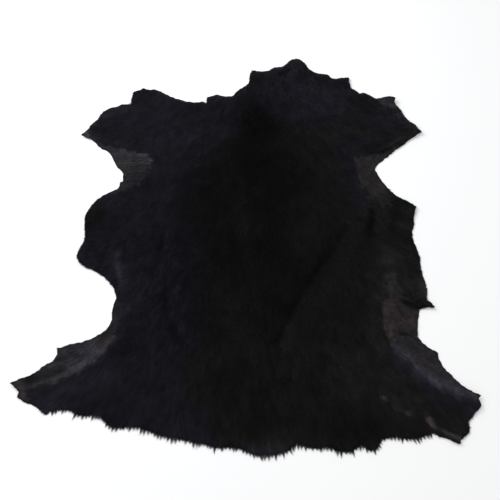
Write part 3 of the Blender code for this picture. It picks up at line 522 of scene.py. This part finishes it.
def mottle(points, pitch, seed):
    """Soft random blotches from -1 to 1, one each pitch."""
    cells = np.random.default_rng(seed).uniform(-1.0, 1.0, (MOTTLE_CELLS, MOTTLE_CELLS))
    at = points[:, :2] / pitch
    low = np.floor(at).astype(int)
    part = smooth(at - low)
    column, row = low.T % MOTTLE_CELLS
    return between(cells, column, row, (column + 1) % MOTTLE_CELLS, (row + 1) % MOTTLE_CELLS, part)


def unevenness(points, layers):
    """Blotches of one size or several, added up."""
    return sum(layer.amount * mottle(points, layer.pitch, layer.seed) for layer in layers)


def off_line(points, path):
    """Distance from each point to an open line of the plan."""
    line = np.array(path) + PLAN_TO_ROW
    nearest = np.full(len(points), np.inf)
    for start, end in zip(line, line[1:]):
        step = end - start
        share = np.clip((points[:, :2] - start) @ step / (step @ step), 0.0, 1.0)
        away = points[:, :2] - start - share[:, None] * step
        nearest = np.minimum(nearest, np.hypot(away[:, 0], away[:, 1]))
    return nearest


def is_inside(points, ring):
    """Even-odd test of each point against a closed outline."""
    odd = np.zeros(len(points), bool)
    for start, end in zip(ring, np.roll(ring, -1, axis=0)):
        if start[1] == end[1]:
            continue
        spans = (start[1] > points[:, 1]) != (end[1] > points[:, 1])
        crossing = start[0] + (points[:, 1] - start[1]) * (end[0] - start[0]) / (end[1] - start[1])
        odd ^= spans & (points[:, 0] < crossing)
    return odd


def stroke_sum(points, strokes):
    """All stripes together, each fading to its sides."""
    total = np.zeros(len(points))
    stray, force = unevenness(points, STROKE_STRAY), 1.0 + unevenness(points, STROKE_FORCE)
    for stroke in strokes:
        away = (off_line(points, stroke.path) + stray) / stroke.width
        total += stroke.amount * force * np.exp(-0.5 * away**2)
    return total


def patch_share(points, patch):
    """How far a point lies in a patch, from 0 outside to 1."""
    closed = np.array(patch.outline + patch.outline[:1])
    uneven = patch.soft * unevenness(points, PATCH_STRAY)
    inward = np.where(is_inside(points, closed[:-1] + PLAN_TO_ROW), 1.0, -1.0)
    away = inward * off_line(points, closed) + uneven
    return smooth(0.5 + 0.5 * away / patch.soft)


def bareness(points):
    """How bare the skin is from 0 under full coat to 1, how pink it is and how light."""
    bare, pink, light = np.zeros((3, len(points)))
    for patch in PATCHES:
        share = patch_share(points, patch)
        bare = np.maximum(bare, share * patch.bareness)
        pink += share * (patch.pinkness - pink)
        light += share * (patch.lightness - light)
    return np.maximum(bare, smooth(SCAR_BARENESS * scars(points))), pink, light


def scars(points):
    """How pale the skin is from scars."""
    stray = np.column_stack([unevenness(points, SCAR_STRAY_X), unevenness(points, SCAR_STRAY_Y)])
    return np.clip(stroke_sum(points[:, :2] + stray, SCARS), 0.0, 1.0)


def coolness(points):
    """How cool the cast of the coat is, from 0 to 1: a painted bluish sheen."""
    rows = np.array(COOL_EDGE)[::-1]
    plan = points[:, :2] - PLAN_TO_ROW
    edge = np.interp(plan[:, 1], rows[:, 0], rows[:, 1]) + unevenness(points, COOL_EDGE_STRAY)
    left = smooth(0.5 + (edge - plan[:, 0]) / (2.0 * COOL_SOFT))
    cast = left + stroke_sum(points, COOL_STREAKS) + unevenness(points, COOL_BLOTCHES)
    return np.clip(cast, 0.0, 1.0)


def tone(points):
    """Lightness in doublings: stripes of painted shade and sheen, blotches, and streaks that run with the
    hair.
    """
    blotches = unevenness(points, TONE_BLOTCHES)
    streaks = unevenness(points[:, :2] * STREAK, TONE_STREAKS)
    return stroke_sum(points, LINES) + stroke_sum(points, TONES) + blotches + streaks


def headings(points):
    """Unit vectors along the lying hair."""
    plan = points[:, :2] - PLAN_TO_ROW
    total = np.zeros((len(points), 2))
    for flow in FLOWS:
        away = (plan[:, 0] - flow.x) ** 2 + (plan[:, 1] - flow.y) ** 2
        weight = np.exp(-0.5 * away / FLOW_REACH**2) + FLOW_LEAST
        angle = math.radians(flow.heading)
        total += np.array([math.cos(angle), math.sin(angle)]) * weight[:, None]
    angle = np.arctan2(total[:, 1], total[:, 0])
    angle += unevenness(points, HEADING_STRAY)
    return np.column_stack([np.cos(angle), np.sin(angle)])


class Field:
    """A value on a square raster over the plan, read between its cells."""

    def __init__(self, low, values):
        self.low = low
        self.values = values

    def at(self, points):
        """The value at each point."""
        place = (points[:, :2] - self.low) / RASTER
        top = np.array(self.values.shape) - 2
        cell = np.clip(np.floor(place).astype(int), 0, top)
        part = np.clip(place - cell, 0.0, 1.0)
        i, j = cell.T
        return between(self.values, i, j, i + 1, j + 1, part)


def evened(values, known):
    """Values evened out over SOFTEN, from the known cells alone."""
    reach = round(3.0 * SOFTEN / RASTER)
    kernel = np.exp(-0.5 * (np.arange(-reach, reach + 1) * RASTER / SOFTEN) ** 2)
    kernel /= kernel.sum()

    def blurred(grid):
        for axis in (0, 1):
            grid = np.apply_along_axis(np.convolve, axis, grid, kernel, mode="same")
        return grid

    share = blurred(known.astype(float))
    return blurred(np.where(known, values, 0.0)) / np.maximum(share, 1e-9), share


def ray_tree(mesh):
    """A mesh made ready to be met by rays."""
    return BVHTree.FromPolygons([v.co for v in mesh.vertices], [f.vertices for f in mesh.polygons])


def cad_heights():
    """Top and underside of the CAD sheet as soft fields, and how far the sheet covers the floor."""
    tree = ray_tree(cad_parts["hide"].data)
    low = np.array(cad_low)[:2] - RASTER_MARGIN
    size = np.ceil((np.array(cad_high)[:2] + RASTER_MARGIN - low) / RASTER).astype(int)
    top = np.zeros(size)
    under = np.zeros(size)
    known = np.zeros(size, bool)
    for i in range(size[0]):
        for j in range(size[1]):
            x, y = low + np.array([i, j]) * RASTER
            above = tree.ray_cast((x, y, 1.0), (0.0, 0.0, -1.0))[0]
            if above is None:
                continue
            known[i, j] = True
            top[i, j] = above.z
            under[i, j] = tree.ray_cast((x, y, -1.0), (0.0, 0.0, 1.0))[0].z
    soft_top, share = evened(top, known)
    return Field(low, soft_top), Field(low, evened(under, known)[0]), Field(low, share)


def cad_rim():
    """The CAD sheet's rim in order: its places at the underside, and how high the wall is there."""
    merged = bmesh.new()
    merged.from_mesh(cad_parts["hide"].data)
    bmesh.ops.remove_doubles(merged, verts=merged.verts, dist=WELD)
    merged.normal_update()
    following = {}
    for edge in merged.edges:
        for loop in edge.link_loops:
            other = loop.link_loop_radial_next.face
            if loop.face.normal.z < UNDERSIDE_NORMAL < other.normal.z:
                following[loop.vert] = loop.link_loop_next.vert
    vertex = start = next(iter(following))
    places, heights = [], []
    while True:
        places.append(vertex.co[:])
        above = [edge.other_vert(vertex).co - vertex.co for edge in vertex.link_edges]
        heights.append(min(way.length for way in above if way.z > WALL_RISE))
        vertex = following[vertex]
        if vertex is start:
            break
    merged.free()
    return np.array(places), np.array(heights)


def across_of(ring):
    """Unit vectors across a ring of points, to the right of the way round."""
    along = np.roll(ring, -1, axis=0) - np.roll(ring, 1, axis=0)
    return np.column_stack([along[:, 1], -along[:, 0]]) / np.hypot(*along.T)[:, None]


def ragged(ring):
    """The cut edge in short steps, straying a little from its line."""
    points = []
    for start, end in zip(ring, np.roll(ring, -1, axis=0)):
        steps = max(1, round(np.hypot(*(end - start)) / EDGE_STEP))
        points += [start + (end - start) * i / steps for i in range(steps)]
    points = np.array(points)
    stray = EDGE_STRAY * unevenness(points, EDGE_WANDER)
    return points + across_of(points) * stray[:, None]


def grid(low, high, across, up):
    """Row and column numbers of a grid over a box, with its spacing across and up."""
    columns, rows = ((high - low) / (across, up)).astype(int)
    return np.mgrid[0:rows, 0:columns]


def lattice(pitch, ring, wanted=None):
    """Points of a triangular lattice inside the ring, clear of its edge, where they are wanted."""
    low, high = ring.min(0), ring.max(0)
    row_height = pitch * math.sqrt(3.0) / 2.0
    row, column = grid(low, high, pitch, row_height)
    x = low[0] + (column + 0.5 * (row % 2)) * pitch
    y = low[1] + (row + 0.5) * row_height
    points = np.column_stack([x.ravel(), y.ravel()])
    points = points[cover_field.at(points) > LEAST_COVER]
    if wanted is not None:
        points = points[wanted(points)]
    points = points[is_inside(points, ring)]
    tree = kdtree.KDTree(len(ring))
    for i, place in enumerate(ring):
        tree.insert((place[0], place[1], 0.0), i)
    tree.balance()
    clear = EDGE_CLEAR * min(pitch, EDGE_STEP)
    return points[[tree.find((x, y, 0.0))[2] > clear for x, y in points]]


def filled(ring, nets):
    """Triangles that fill the ring through the points of the nets, facing up."""
    points = [Vector(p) for p in np.concatenate([ring, *nets])]
    edges = [(i, (i + 1) % len(ring)) for i in range(len(ring))]
    flat, _, faces, origin, _, _ = delaunay_2d_cdt(points, edges, [], FILL_INSIDE, FILL_TOLERANCE)
    places = np.array(flat)
    rim = np.full(len(ring), -1)
    for i, sources in enumerate(origin):
        for source in sources:
            if source < len(ring):
                rim[source] = i
    triangles = np.array(faces)
    a, b, c = places[triangles[:, 0]], places[triangles[:, 1]], places[triangles[:, 2]]
    turns = (b - a)[:, 0] * (c - a)[:, 1] - (b - a)[:, 1] * (c - a)[:, 0]
    triangles[turns < 0.0] = triangles[turns < 0.0][:, ::-1]
    return places, triangles, rim


def coat_top(points):
    """Top of the lying coat: the CAD sheet's top with the creases pressed in."""
    height = top_field.at(points)
    for crease in CREASES:
        height -= crease.depth * np.exp(-0.5 * (off_line(points, crease.path) / crease.width) ** 2)
    return height


def skin_top(points):
    """Top of the skin, or of the dense underhair where there is coat."""
    under = under_field.at(points)
    bare = bareness(points)[0]
    coat = np.maximum(coat_top(points) - under - LEATHER_THICK, 0.0)
    height = under + LEATHER_THICK + UNDERCOAT * coat * (1.0 - bare)
    height += bare * (wrinkles(points)[0] + unevenness(points, SKIN_GRAIN))
    return np.maximum(height, under + MIN_THICK)


def wrinkles(points):
    """Height of the fine wrinkles of bare skin, and how much painted shade darkens their valleys."""
    height, valley = np.zeros((2, len(points)))
    for fold in WRINKLES:
        plan = points[:, :2] - PLAN_TO_ROW - np.array([fold.x, fold.y])
        turn = math.radians(fold.turn)
        along = plan[:, 0] * math.cos(turn) + plan[:, 1] * math.sin(turn)
        across = plan[:, 1] * math.cos(turn) - plan[:, 0] * math.sin(turn)
        window = smooth(WINDOW_SLOPE - WINDOW_SLOPE * np.hypot(along / fold.length, across / fold.width))
        drift = RIDGE_DRIFT * unevenness(points, WRINKLE_DRIFT)
        ridge = np.sin(2.0 * math.pi * across / fold.pitch + drift)
        broken = RIDGE_MEAN + unevenness(points, WRINKLE_BREAKS)
        height += fold.height * window * broken * ridge
        # painted shade in the valleys of the wrinkles
        dark = smooth(-VALLEY_SLOPE * ridge - VALLEY_FROM)
        valley = np.maximum(valley, fold.shade * window * broken * dark)
    return height, valley


def new_mesh(name, places, triangles):
    """A mesh object of the hide at the origin."""
    mesh = bpy.data.meshes.new(name)
    mesh.vertices.add(len(places))
    mesh.vertices.foreach_set("co", np.asarray(places, np.float32).ravel())
    mesh.loops.add(3 * len(triangles))
    mesh.loops.foreach_set("vertex_index", np.asarray(triangles, np.int32).ravel())
    mesh.polygons.add(len(triangles))
    mesh.polygons.foreach_set("loop_start", np.arange(0, 3 * len(triangles), 3, dtype=np.int32))
    mesh.update(calc_edges=True)
    mesh.validate()
    piece = bpy.data.objects.new(name, mesh)
    bpy.context.scene.collection.objects.link(piece)
    return piece


def mark(piece, name, values):
    """Give each point of a piece a value that its material can read."""
    attribute = piece.data.attributes.new(name, "FLOAT", "POINT")
    attribute.data.foreach_set("value", np.asarray(values, np.float32))


def flat_map(piece, places, triangles):
    """Map a piece flat as seen from above, for the bake."""
    low = places[:, :2].min(0)
    span = (places[:, :2].max(0) - low) * (1.0 + 2.0 * MAP_MARGIN)
    layer = piece.data.uv_layers.new(name="OFBake")
    spots = (places[triangles.ravel(), :2] - low) / span + MAP_MARGIN
    layer.data.foreach_set("uv", np.asarray(spots, np.float32).ravel())


def build_skin(ring):
    """The closed sheet of skin: fine where it is bare, with a plain underside and a cut edge."""
    nets = [
        lattice(COAT_NET, ring, lambda points: bareness(points)[0] < BARE_FROM),
        lattice(BARE_NET, ring, lambda points: bareness(points)[0] >= BARE_FROM),
    ]
    upper, upper_faces, upper_rim = filled(ring, nets)
    lower, lower_faces, lower_rim = filled(ring, [lattice(UNDER_NET, ring)])
    top = np.column_stack([upper, skin_top(upper)])
    under = np.column_stack([lower, np.maximum(under_field.at(lower), 0.0)])
    first = len(top)
    lower_rim = lower_rim + first
    wall_a = np.column_stack([upper_rim, lower_rim, np.roll(upper_rim, -1)])
    wall_b = np.column_stack([lower_rim, np.roll(lower_rim, -1), np.roll(upper_rim, -1)])
    walls = np.concatenate([wall_a, wall_b])
    area = 0.5 * np.sum(ring[:, 0] * np.roll(ring[:, 1], -1) - np.roll(ring[:, 0], -1) * ring[:, 1])
    if area < 0.0:
        walls = walls[:, ::-1]
    triangles = np.concatenate([upper_faces, lower_faces[:, ::-1] + first, walls])
    places = np.concatenate([top, under])
    skin = new_mesh("hide_skin", places, triangles)
    for material in (skin_material(), suede_material(), cut_edge_material()):
        skin.data.materials.append(material)
    kinds = np.repeat([0, 1, 2], [len(upper_faces), len(lower_faces), len(walls)])
    skin.data.polygons.foreach_set("material_index", kinds.astype(np.int32))
    skin.data.polygons.foreach_set("use_smooth", kinds < 2)
    bare, pink, light = bareness(places)
    patchy = unevenness(places, SKIN_BLOTCHES)
    mark(skin, "bare", bare)
    mark(skin, "pink", np.clip(pink * (1.0 + unevenness(places, PINK_BLOTCHES)), 0.0, 1.0))
    # painted shade in creases, tucks and wrinkle valleys, painted sheen along the hind legs' ridges, and
    # painted shade beside the cut edge
    painted_shade_and_sheen = stroke_sum(places, LINES) - wrinkles(places)[1]
    beside_rim = smooth((RIM_COVER - cover_field.at(places)) / RIM_FADE)
    mark(skin, "light", light + patchy + painted_shade_and_sheen - RIM_SHADE * beside_rim)
    mark(skin, "scar", scars(places))
    mark(skin, "cool", coolness(places))
    mark(skin, "tone", tone(places))
    return skin


def locks(roots, tips, width, depth, roll):
    """Closed locks of hair, each a flat three-sided root that runs to a point."""
    along = tips - roots
    along /= np.linalg.norm(along, axis=1)[:, None]
    across = np.column_stack([along[:, 1], -along[:, 0], np.zeros(len(along))])
    across /= np.linalg.norm(across, axis=1)[:, None]
    rise = np.cross(across, along)
    cosine, sine = np.cos(roll)[:, None], np.sin(roll)[:, None]
    across, rise = across * cosine + rise * sine, rise * cosine - across * sine
    half = across * (0.5 * width[:, None])
    corners = np.stack([roots + half, roots - half, roots + rise * depth[:, None], tips], axis=1)
    faces = np.array([[0, 2, 3], [2, 1, 3], [1, 0, 3], [0, 1, 2]])
    triangles = faces[None] + 4 * np.arange(len(roots))[:, None, None]
    return corners.reshape(-1, 3), triangles.reshape(-1, 3)


def hair_piece(name, roots, tips, width, depth, roll, shade):
    """One piece of the coat, with its marks and its material."""
    places, triangles = locks(roots, tips, width, depth, roll)
    piece = new_mesh(name, places, triangles)
    piece.data.materials.append(coat)
    # the tone holds painted shade and sheen
    root_tone, tip_tone = tone(roots) + shade, tone(tips) + shade
    # the cool mark is a painted bluish sheen
    mark(piece, "cool", np.repeat(coolness(roots), 4))
    mark(piece, "tone", np.column_stack([root_tone, root_tone, root_tone, tip_tone]).ravel())
    mark(piece, "tip", np.tile([0.0, 0.0, 0.0, 1.0], len(roots)))
    flat_map(piece, places, triangles)
    return piece


def grow_coat(skin):
    """Lying hair all over the coat, in pieces from the neck to the rump."""
    draw = np.random.default_rng(77)
    low, high = np.array(cad_low)[:2], np.array(cad_high)[:2]
    row, column = grid(low, high, HAIR_PITCH, HAIR_PITCH)
    spots = np.column_stack([column.ravel(), row.ravel()]) + draw.uniform(-0.5, 0.5, (row.size, 2))
    spots = low + spots * HAIR_PITCH
    tree = ray_tree(skin.data)
    heights = []
    for x, y in spots:
        hit = tree.ray_cast((x, y, 1.0), (0.0, 0.0, -1.0))[0]
        heights.append(-1.0 if hit is None else hit.z)
    heights = np.array(heights)
    spots, heights = spots[heights > 0.0], heights[heights > 0.0]
    bare = bareness(spots)[0]
    kept = draw.uniform(0.0, 1.0, len(spots)) > bare * BARE_SHED
    spots, heights, bare = spots[kept], heights[kept], bare[kept]
    count = len(spots)
    rump = smooth((RUMP_START - spots[:, 1]) / RUMP_BLEND)
    length = HAIR_LENGTH + (RUMP_HAIR_LENGTH - HAIR_LENGTH) * rump
    length *= draw.uniform(*LENGTH_SPREAD, count) * (1.0 - BARE_SHORTER * bare)
    heading = headings(spots)
    turn = draw.normal(0.0, HAIR_TURN, count)
    heading = np.column_stack([
        heading[:, 0] * np.cos(turn) - heading[:, 1] * np.sin(turn),
        heading[:, 0] * np.sin(turn) + heading[:, 1] * np.cos(turn),
    ])
    for _ in range(TRIMS):
        past = cover_field.at(spots + heading * length[:, None]) < OVERHANG
        length[past] *= TRIM
    ends = spots + heading * length[:, None]
    rise = TIP_RISE * draw.uniform(*RISE_SPREAD, count) * (1.0 - BARE_FINER * bare)
    end_heights = np.maximum(coat_top(ends) + rise, heights + TIP_CLEAR)
    roots = np.column_stack([spots, heights - HAIR_SINK])
    tips = np.column_stack([ends, np.maximum(end_heights, LOWEST_TIP)])
    width = HAIR_WIDTH * draw.uniform(*WIDTH_SPREAD, count) * (1.0 - BARE_FINER * bare)
    depth = HAIR_DEPTH * draw.uniform(*SIZE_SPREAD, count)
    roll = draw.normal(0.0, HAIR_ROLL, count)
    shade = draw.normal(0.0, COAT_SHADE, count) + BARE_HAIR_PALE * bare
    order = np.argsort(-spots[:, 1])
    pieces = []
    for number, part in enumerate(np.array_split(order, COAT_PIECES)):
        values = [each[part] for each in (roots, tips, width, depth, roll, shade)]
        pieces.append(hair_piece(f"coat_{number + 1}", *values))
    return pieces


def grow_rump_fringe(places, heights):
    """Hair that hangs over the rump's rim, in the CAD sheet's locks."""
    draw = np.random.default_rng(78)
    is_tip = heights < LOCK_WALL
    roots, tips = [], []
    count = len(places)
    for i in range(count):
        if not (is_tip[i] and is_tip[(i + 1) % count]):
            continue
        end = 0.5 * (places[i] + places[(i + 1) % count])[:2]
        left, right = places[i - 1][:2], places[(i + 2) % count][:2]
        longest = 1.0 + draw.uniform(*FRINGE_STRETCH)
        for _ in range(HAIRS_PER_LOCK):
            share = draw.uniform(*LOCK_SHARE)
            root = left + (right - left) * share
            inward = (root - end) / np.hypot(*(root - end))
            root = root + inward * draw.uniform(*FRINGE_ROOT)
            aim = end + (right - left) * (share - 0.5) * draw.uniform(*FRINGE_SPREAD)
            reach = draw.uniform(FRINGE_SHORTEST, longest)
            roots.append(root)
            tips.append(root + (aim - root) * reach + draw.normal(0.0, FRINGE_STRAY, 2))
    roots, tips = np.array(roots), np.array(tips)
    total = len(roots)
    roots = np.column_stack([roots, skin_top(roots) * draw.uniform(*FRINGE_ROOT_HEIGHT, total)])
    tips = np.column_stack([tips, draw.uniform(*RIM_TIP_HEIGHT, total)])
    width = FRINGE_WIDTH * draw.uniform(*SIZE_SPREAD, total)
    depth = FRINGE_DEPTH * draw.uniform(*SIZE_SPREAD, total)
    roll, shade = draw.normal(0.0, HAIR_ROLL, total), draw.normal(0.0, RIM_HAIR_SHADE, total)
    return hair_piece("rump_fringe", roots, tips, width, depth, roll, shade)


def grow_rim_tufts(ring):
    """Short tufts past the cut edge, wherever the coat lies outwards over it."""
    draw = np.random.default_rng(79)
    outward = across_of(ring)
    probe = SIDE_PROBE * outward
    outward[cover_field.at(ring + probe) > cover_field.at(ring - probe)] *= -1.0
    leaning = (headings(ring) * outward).sum(1)
    hairy = bareness(ring)[0] < draw.uniform(*TUFT_BARE_LIMIT, len(ring))
    chosen = hairy & (leaning > TUFT_LEAST_LEAN)
    chosen &= draw.uniform(0.0, 1.0, len(ring)) < TUFT_SHARE
    base, out = np.repeat(ring[chosen], TUFT_HAIRS, axis=0), np.repeat(outward[chosen], TUFT_HAIRS, axis=0)
    reach = np.repeat(draw.uniform(*TUFT_REACH, chosen.sum()), TUFT_HAIRS)
    total = len(base)
    lean = TUFT_OUTWARDS * out + TUFT_WITH_COAT * headings(base)
    lean /= np.hypot(*lean.T)[:, None]
    roots = base - lean * draw.uniform(*TUFT_ROOT, total)[:, None]
    roots += draw.normal(0.0, TUFT_ROOT_STRAY, (total, 2))
    tips = base + lean * (reach * draw.uniform(*TUFT_REACH_SPREAD, total))[:, None]
    tips += draw.normal(0.0, TUFT_TIP_STRAY, (total, 2))
    under = under_field.at(base)
    roots = np.column_stack([roots, under + LEATHER_THICK * draw.uniform(*TUFT_ROOT_HEIGHT, total)])
    tips = np.column_stack([tips, under + draw.uniform(*RIM_TIP_HEIGHT, total)])
    width = TUFT_WIDTH * draw.uniform(*SIZE_SPREAD, total)
    depth = TUFT_DEPTH * draw.uniform(*SIZE_SPREAD, total)
    roll, shade = draw.normal(0.0, HAIR_ROLL, total), draw.normal(0.0, RIM_HAIR_SHADE, total)
    return hair_piece("rim_tufts", roots, tips, width, depth, roll, shade)


class Wiring:
    """Short calls for building one node tree."""

    def __init__(self, tree):
        self.nodes = tree.nodes
        self.links = tree.links

    def feed(self, socket, value):
        """Link a socket, or set its value."""
        if isinstance(value, bpy.types.NodeSocket):
            self.links.new(value, socket)
        else:
            socket.default_value = value

    def node(self, kind, **inputs):
        """A node with the given values or links on its inputs."""
        made = self.nodes.new(kind)
        for key, value in inputs.items():
            self.feed(made.inputs[key.replace("_", " ")], value)
        return made

    def group(self, tree, **inputs):
        """A node group placed here with its own values."""
        made = self.nodes.new("ShaderNodeGroup")
        made.node_tree = tree
        for key, value in inputs.items():
            self.feed(made.inputs[key], value)
        return made.outputs[0]

    def mark(self, name):
        """The value of a mark on the mesh."""
        made = self.nodes.new("ShaderNodeAttribute")
        made.attribute_name = name
        return made.outputs["Fac"]

    def math(self, operation, a, b):
        """One sum of two values."""
        made = self.nodes.new("ShaderNodeMath")
        made.operation = operation
        self.feed(made.inputs[0], a)
        self.feed(made.inputs[1], b)
        return made.outputs[0]

    def mix(self, share, a, b):
        """Two colours mixed."""
        made = self.nodes.new("ShaderNodeMix")
        made.data_type = "RGBA"
        for socket, value in zip((made.inputs[0], made.inputs[6], made.inputs[7]), (share, a, b)):
            self.feed(socket, value)
        return made.outputs[2]

    def scaled(self, colour, share):
        """A colour made lighter or darker by a value."""
        made = self.nodes.new("ShaderNodeVectorMath")
        made.operation = "SCALE"
        self.feed(made.inputs[0], colour)
        self.feed(made.inputs["Scale"], share)
        return made.outputs[0]

    def noise(self, scale, detail):
        """Cloudy noise over the object, from 0 to 1."""
        place = self.nodes.new("ShaderNodeTexCoord").outputs["Object"]
        return self.node("ShaderNodeTexNoise", Vector=place, Scale=scale, Detail=detail).outputs[0]


def new_group(name, inputs, output, kind):
    """An empty node group: its tree, the wiring in it, its inputs, and the socket of its output."""
    tree = bpy.data.node_groups.new(name, "ShaderNodeTree")
    for label in inputs:
        tree.interface.new_socket(label, in_out="INPUT", socket_type="NodeSocketFloat")
    tree.interface.new_socket(output, in_out="OUTPUT", socket_type=kind)
    entry = tree.nodes.new("NodeGroupInput")
    leaving = tree.nodes.new("NodeGroupOutput")
    return tree, Wiring(tree), entry.outputs, leaving.inputs[0]


def black_hair_group():
    """Colour of black hair, by its cast of painted bluish sheen, its tone in doublings with painted shade
    and sheen in it, and how dusty it is.
    """
    inputs = ("Cool", "Tone", "Dust")
    tree, wiring, given, colour = new_group("black_hair", inputs, "Color", "NodeSocketColor")
    # mixes in the painted bluish sheen
    cast = wiring.mix(given["Cool"], NEUTRAL_BLACK, COOL_SHEEN_BLACK)
    lightness = wiring.math("MULTIPLY", wiring.math("POWER", 2.0, given["Tone"]), given["Dust"])
    wiring.feed(colour, wiring.scaled(cast, lightness))
    return tree


def grain_group():
    """Height of the fine grain of skin and suede."""
    tree, wiring, given, height = new_group("grain", ("Scale", "Detail"), "Height", "NodeSocketFloat")
    wiring.feed(height, wiring.noise(given["Scale"], given["Detail"]))
    return tree


def new_material(name):
    """A material and the wiring in it."""
    material = bpy.data.materials.new(name)
    material.use_nodes = True
    return material, Wiring(material.node_tree)


def finish_shader(wiring, colour, roughness, specular):
    """Set the shader's main values."""
    shader = wiring.nodes["Principled BSDF"]
    wiring.feed(shader.inputs["Base Color"], colour)
    shader.inputs["Roughness"].default_value = roughness
    shader.inputs["Specular IOR Level"].default_value = specular


def add_grain(wiring, scale, strength, distance):
    """Feed the fine grain to the shader's normal."""
    height = wiring.group(grain, Scale=scale, Detail=3.0)
    bump = wiring.node("ShaderNodeBump", Height=height, Strength=strength, Distance=distance)
    wiring.feed(wiring.nodes["Principled BSDF"].inputs["Normal"], bump.outputs[0])


def coat_material():
    """Black lying hair, dustier towards its tips."""
    material, wiring = new_material("black_coat")
    dust = wiring.math("ADD", ROOT_DUST, wiring.math("MULTIPLY", wiring.mark("tip"), TIP_DUST))
    colour = wiring.group(black_hair, Cool=wiring.mark("cool"), Tone=wiring.mark("tone"), Dust=dust)
    finish_shader(wiring, colour, roughness=0.55, specular=0.05)
    return material


def skin_material():
    """Underhair where there is coat, and bare grey and pink skin elsewhere."""
    material, wiring = new_material("skin_and_underhair")
    cool, tones = wiring.mark("cool"), wiring.mark("tone")
    hair = wiring.group(black_hair, Cool=cool, Tone=tones, Dust=UNDERHAIR_DUST)
    skin = wiring.mix(wiring.mark("pink"), GREY_SKIN, PINK_SKIN)
    # the light mark holds painted shade and sheen besides the skin's own lightness
    skin = wiring.scaled(skin, wiring.math("POWER", 2.0, wiring.mark("light")))
    skin = wiring.mix(wiring.mark("scar"), skin, SCAR_PINK)
    clouds = wiring.math("MULTIPLY", wiring.noise(scale=130.0, detail=4.0), SKIN_CLOUD_SPAN)
    skin = wiring.scaled(skin, wiring.math("ADD", SKIN_CLOUD_LOW, clouds))
    add_grain(wiring, scale=420.0, strength=0.5, distance=0.0010)
    finish_shader(wiring, wiring.mix(wiring.mark("bare"), hair, skin), roughness=0.62, specular=0.08)
    return material


def suede_material():
    """Brushed flesh side."""
    material, wiring = new_material("suede_underside")
    add_grain(wiring, scale=300.0, strength=0.4, distance=0.0008)
    colour = wiring.mix(wiring.noise(scale=9.0, detail=3.0), SUEDE_DARK, SUEDE_LIGHT)
    finish_shader(wiring, colour, roughness=0.9, specular=0.2)
    return material


def cut_edge_material():
    """The knife's cut through the skin."""
    material, wiring = new_material("cut_edge")
    add_grain(wiring, scale=500.0, strength=0.5, distance=0.0006)
    colour = wiring.mix(wiring.noise(scale=120.0, detail=3.0), CUT_DARK, CUT_LIGHT)
    finish_shader(wiring, colour, roughness=0.75, specular=0.10)
    return material


def floor_material():
    """Plain pale floor."""
    material, wiring = new_material("pale_floor")
    finish_shader(wiring, FLOOR_COLOUR, roughness=0.9, specular=0.0)
    return material


def place_camera():
    """The camera of the plan: in front of the rump, looking down at the hide."""
    data = bpy.data.cameras.new("camera")
    data.lens = CAMERA_LENS
    data.sensor_width = SENSOR_WIDTH
    camera = bpy.data.objects.new("camera", data)
    bpy.context.scene.collection.objects.link(camera)
    back = Vector((0.0, -math.cos(CAMERA_ELEVATION), math.sin(CAMERA_ELEVATION)))
    camera.location = Vector((*PLAN_TO_ROW, 0.0)) + back * CAMERA_DISTANCE
    camera.rotation_euler = (-back).to_track_quat("-Z", "Y").to_euler()
    bpy.context.scene.camera = camera


def place_floor():
    """A wide plain floor just under the hide."""
    half, level = FLOOR_HALF, -FLOOR_DROP
    corners = [(-half, -half, level), (half, -half, level), (half, half, level), (-half, half, level)]
    mesh = bpy.data.meshes.new("floor")
    mesh.from_pydata(corners, [], [(0, 1, 2, 3)])
    mesh.materials.append(floor_material())
    floor = bpy.data.objects.new("floor", mesh)
    bpy.context.scene.collection.objects.link(floor)
    return floor


def place_light():
    """Even white surroundings and one large soft light from the upper left."""
    world = bpy.data.worlds.new("studio")
    bpy.context.scene.world = world
    world.use_nodes = True
    background = world.node_tree.nodes["Background"]
    background.inputs["Color"].default_value = (1.0, 1.0, 1.0, 1.0)
    background.inputs["Strength"].default_value = SKY_STRENGTH
    key = bpy.data.lights.new("key", "AREA")
    key.shape = "DISK"
    key.size = LAMP_SIZE
    key.energy = LAMP_ENERGY
    key.color = LAMP_COLOUR
    lamp = bpy.data.objects.new("key", key)
    lamp.location = LAMP_PLACE
    lamp.rotation_euler = (-lamp.location).to_track_quat("-Z", "Y").to_euler()
    bpy.context.scene.collection.objects.link(lamp)


place_camera()
floor = place_floor()
place_light()
bpy.context.scene.view_settings.view_transform = "Standard"

top_field, under_field, cover_field = cad_heights()
rim_places, rim_heights = cad_rim()
leather_ring = ragged(rim_places[rim_heights > LOCK_WALL][:, :2])
black_hair, grain = black_hair_group(), grain_group()
skin = build_skin(leather_ring)
coat = coat_material()
hair = grow_coat(skin)
hair.append(grow_rump_fringe(rim_places, rim_heights))
hair.append(grow_rim_tufts(leather_ring))

for piece in (skin, *hair):
    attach(piece, "root")
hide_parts("hide")
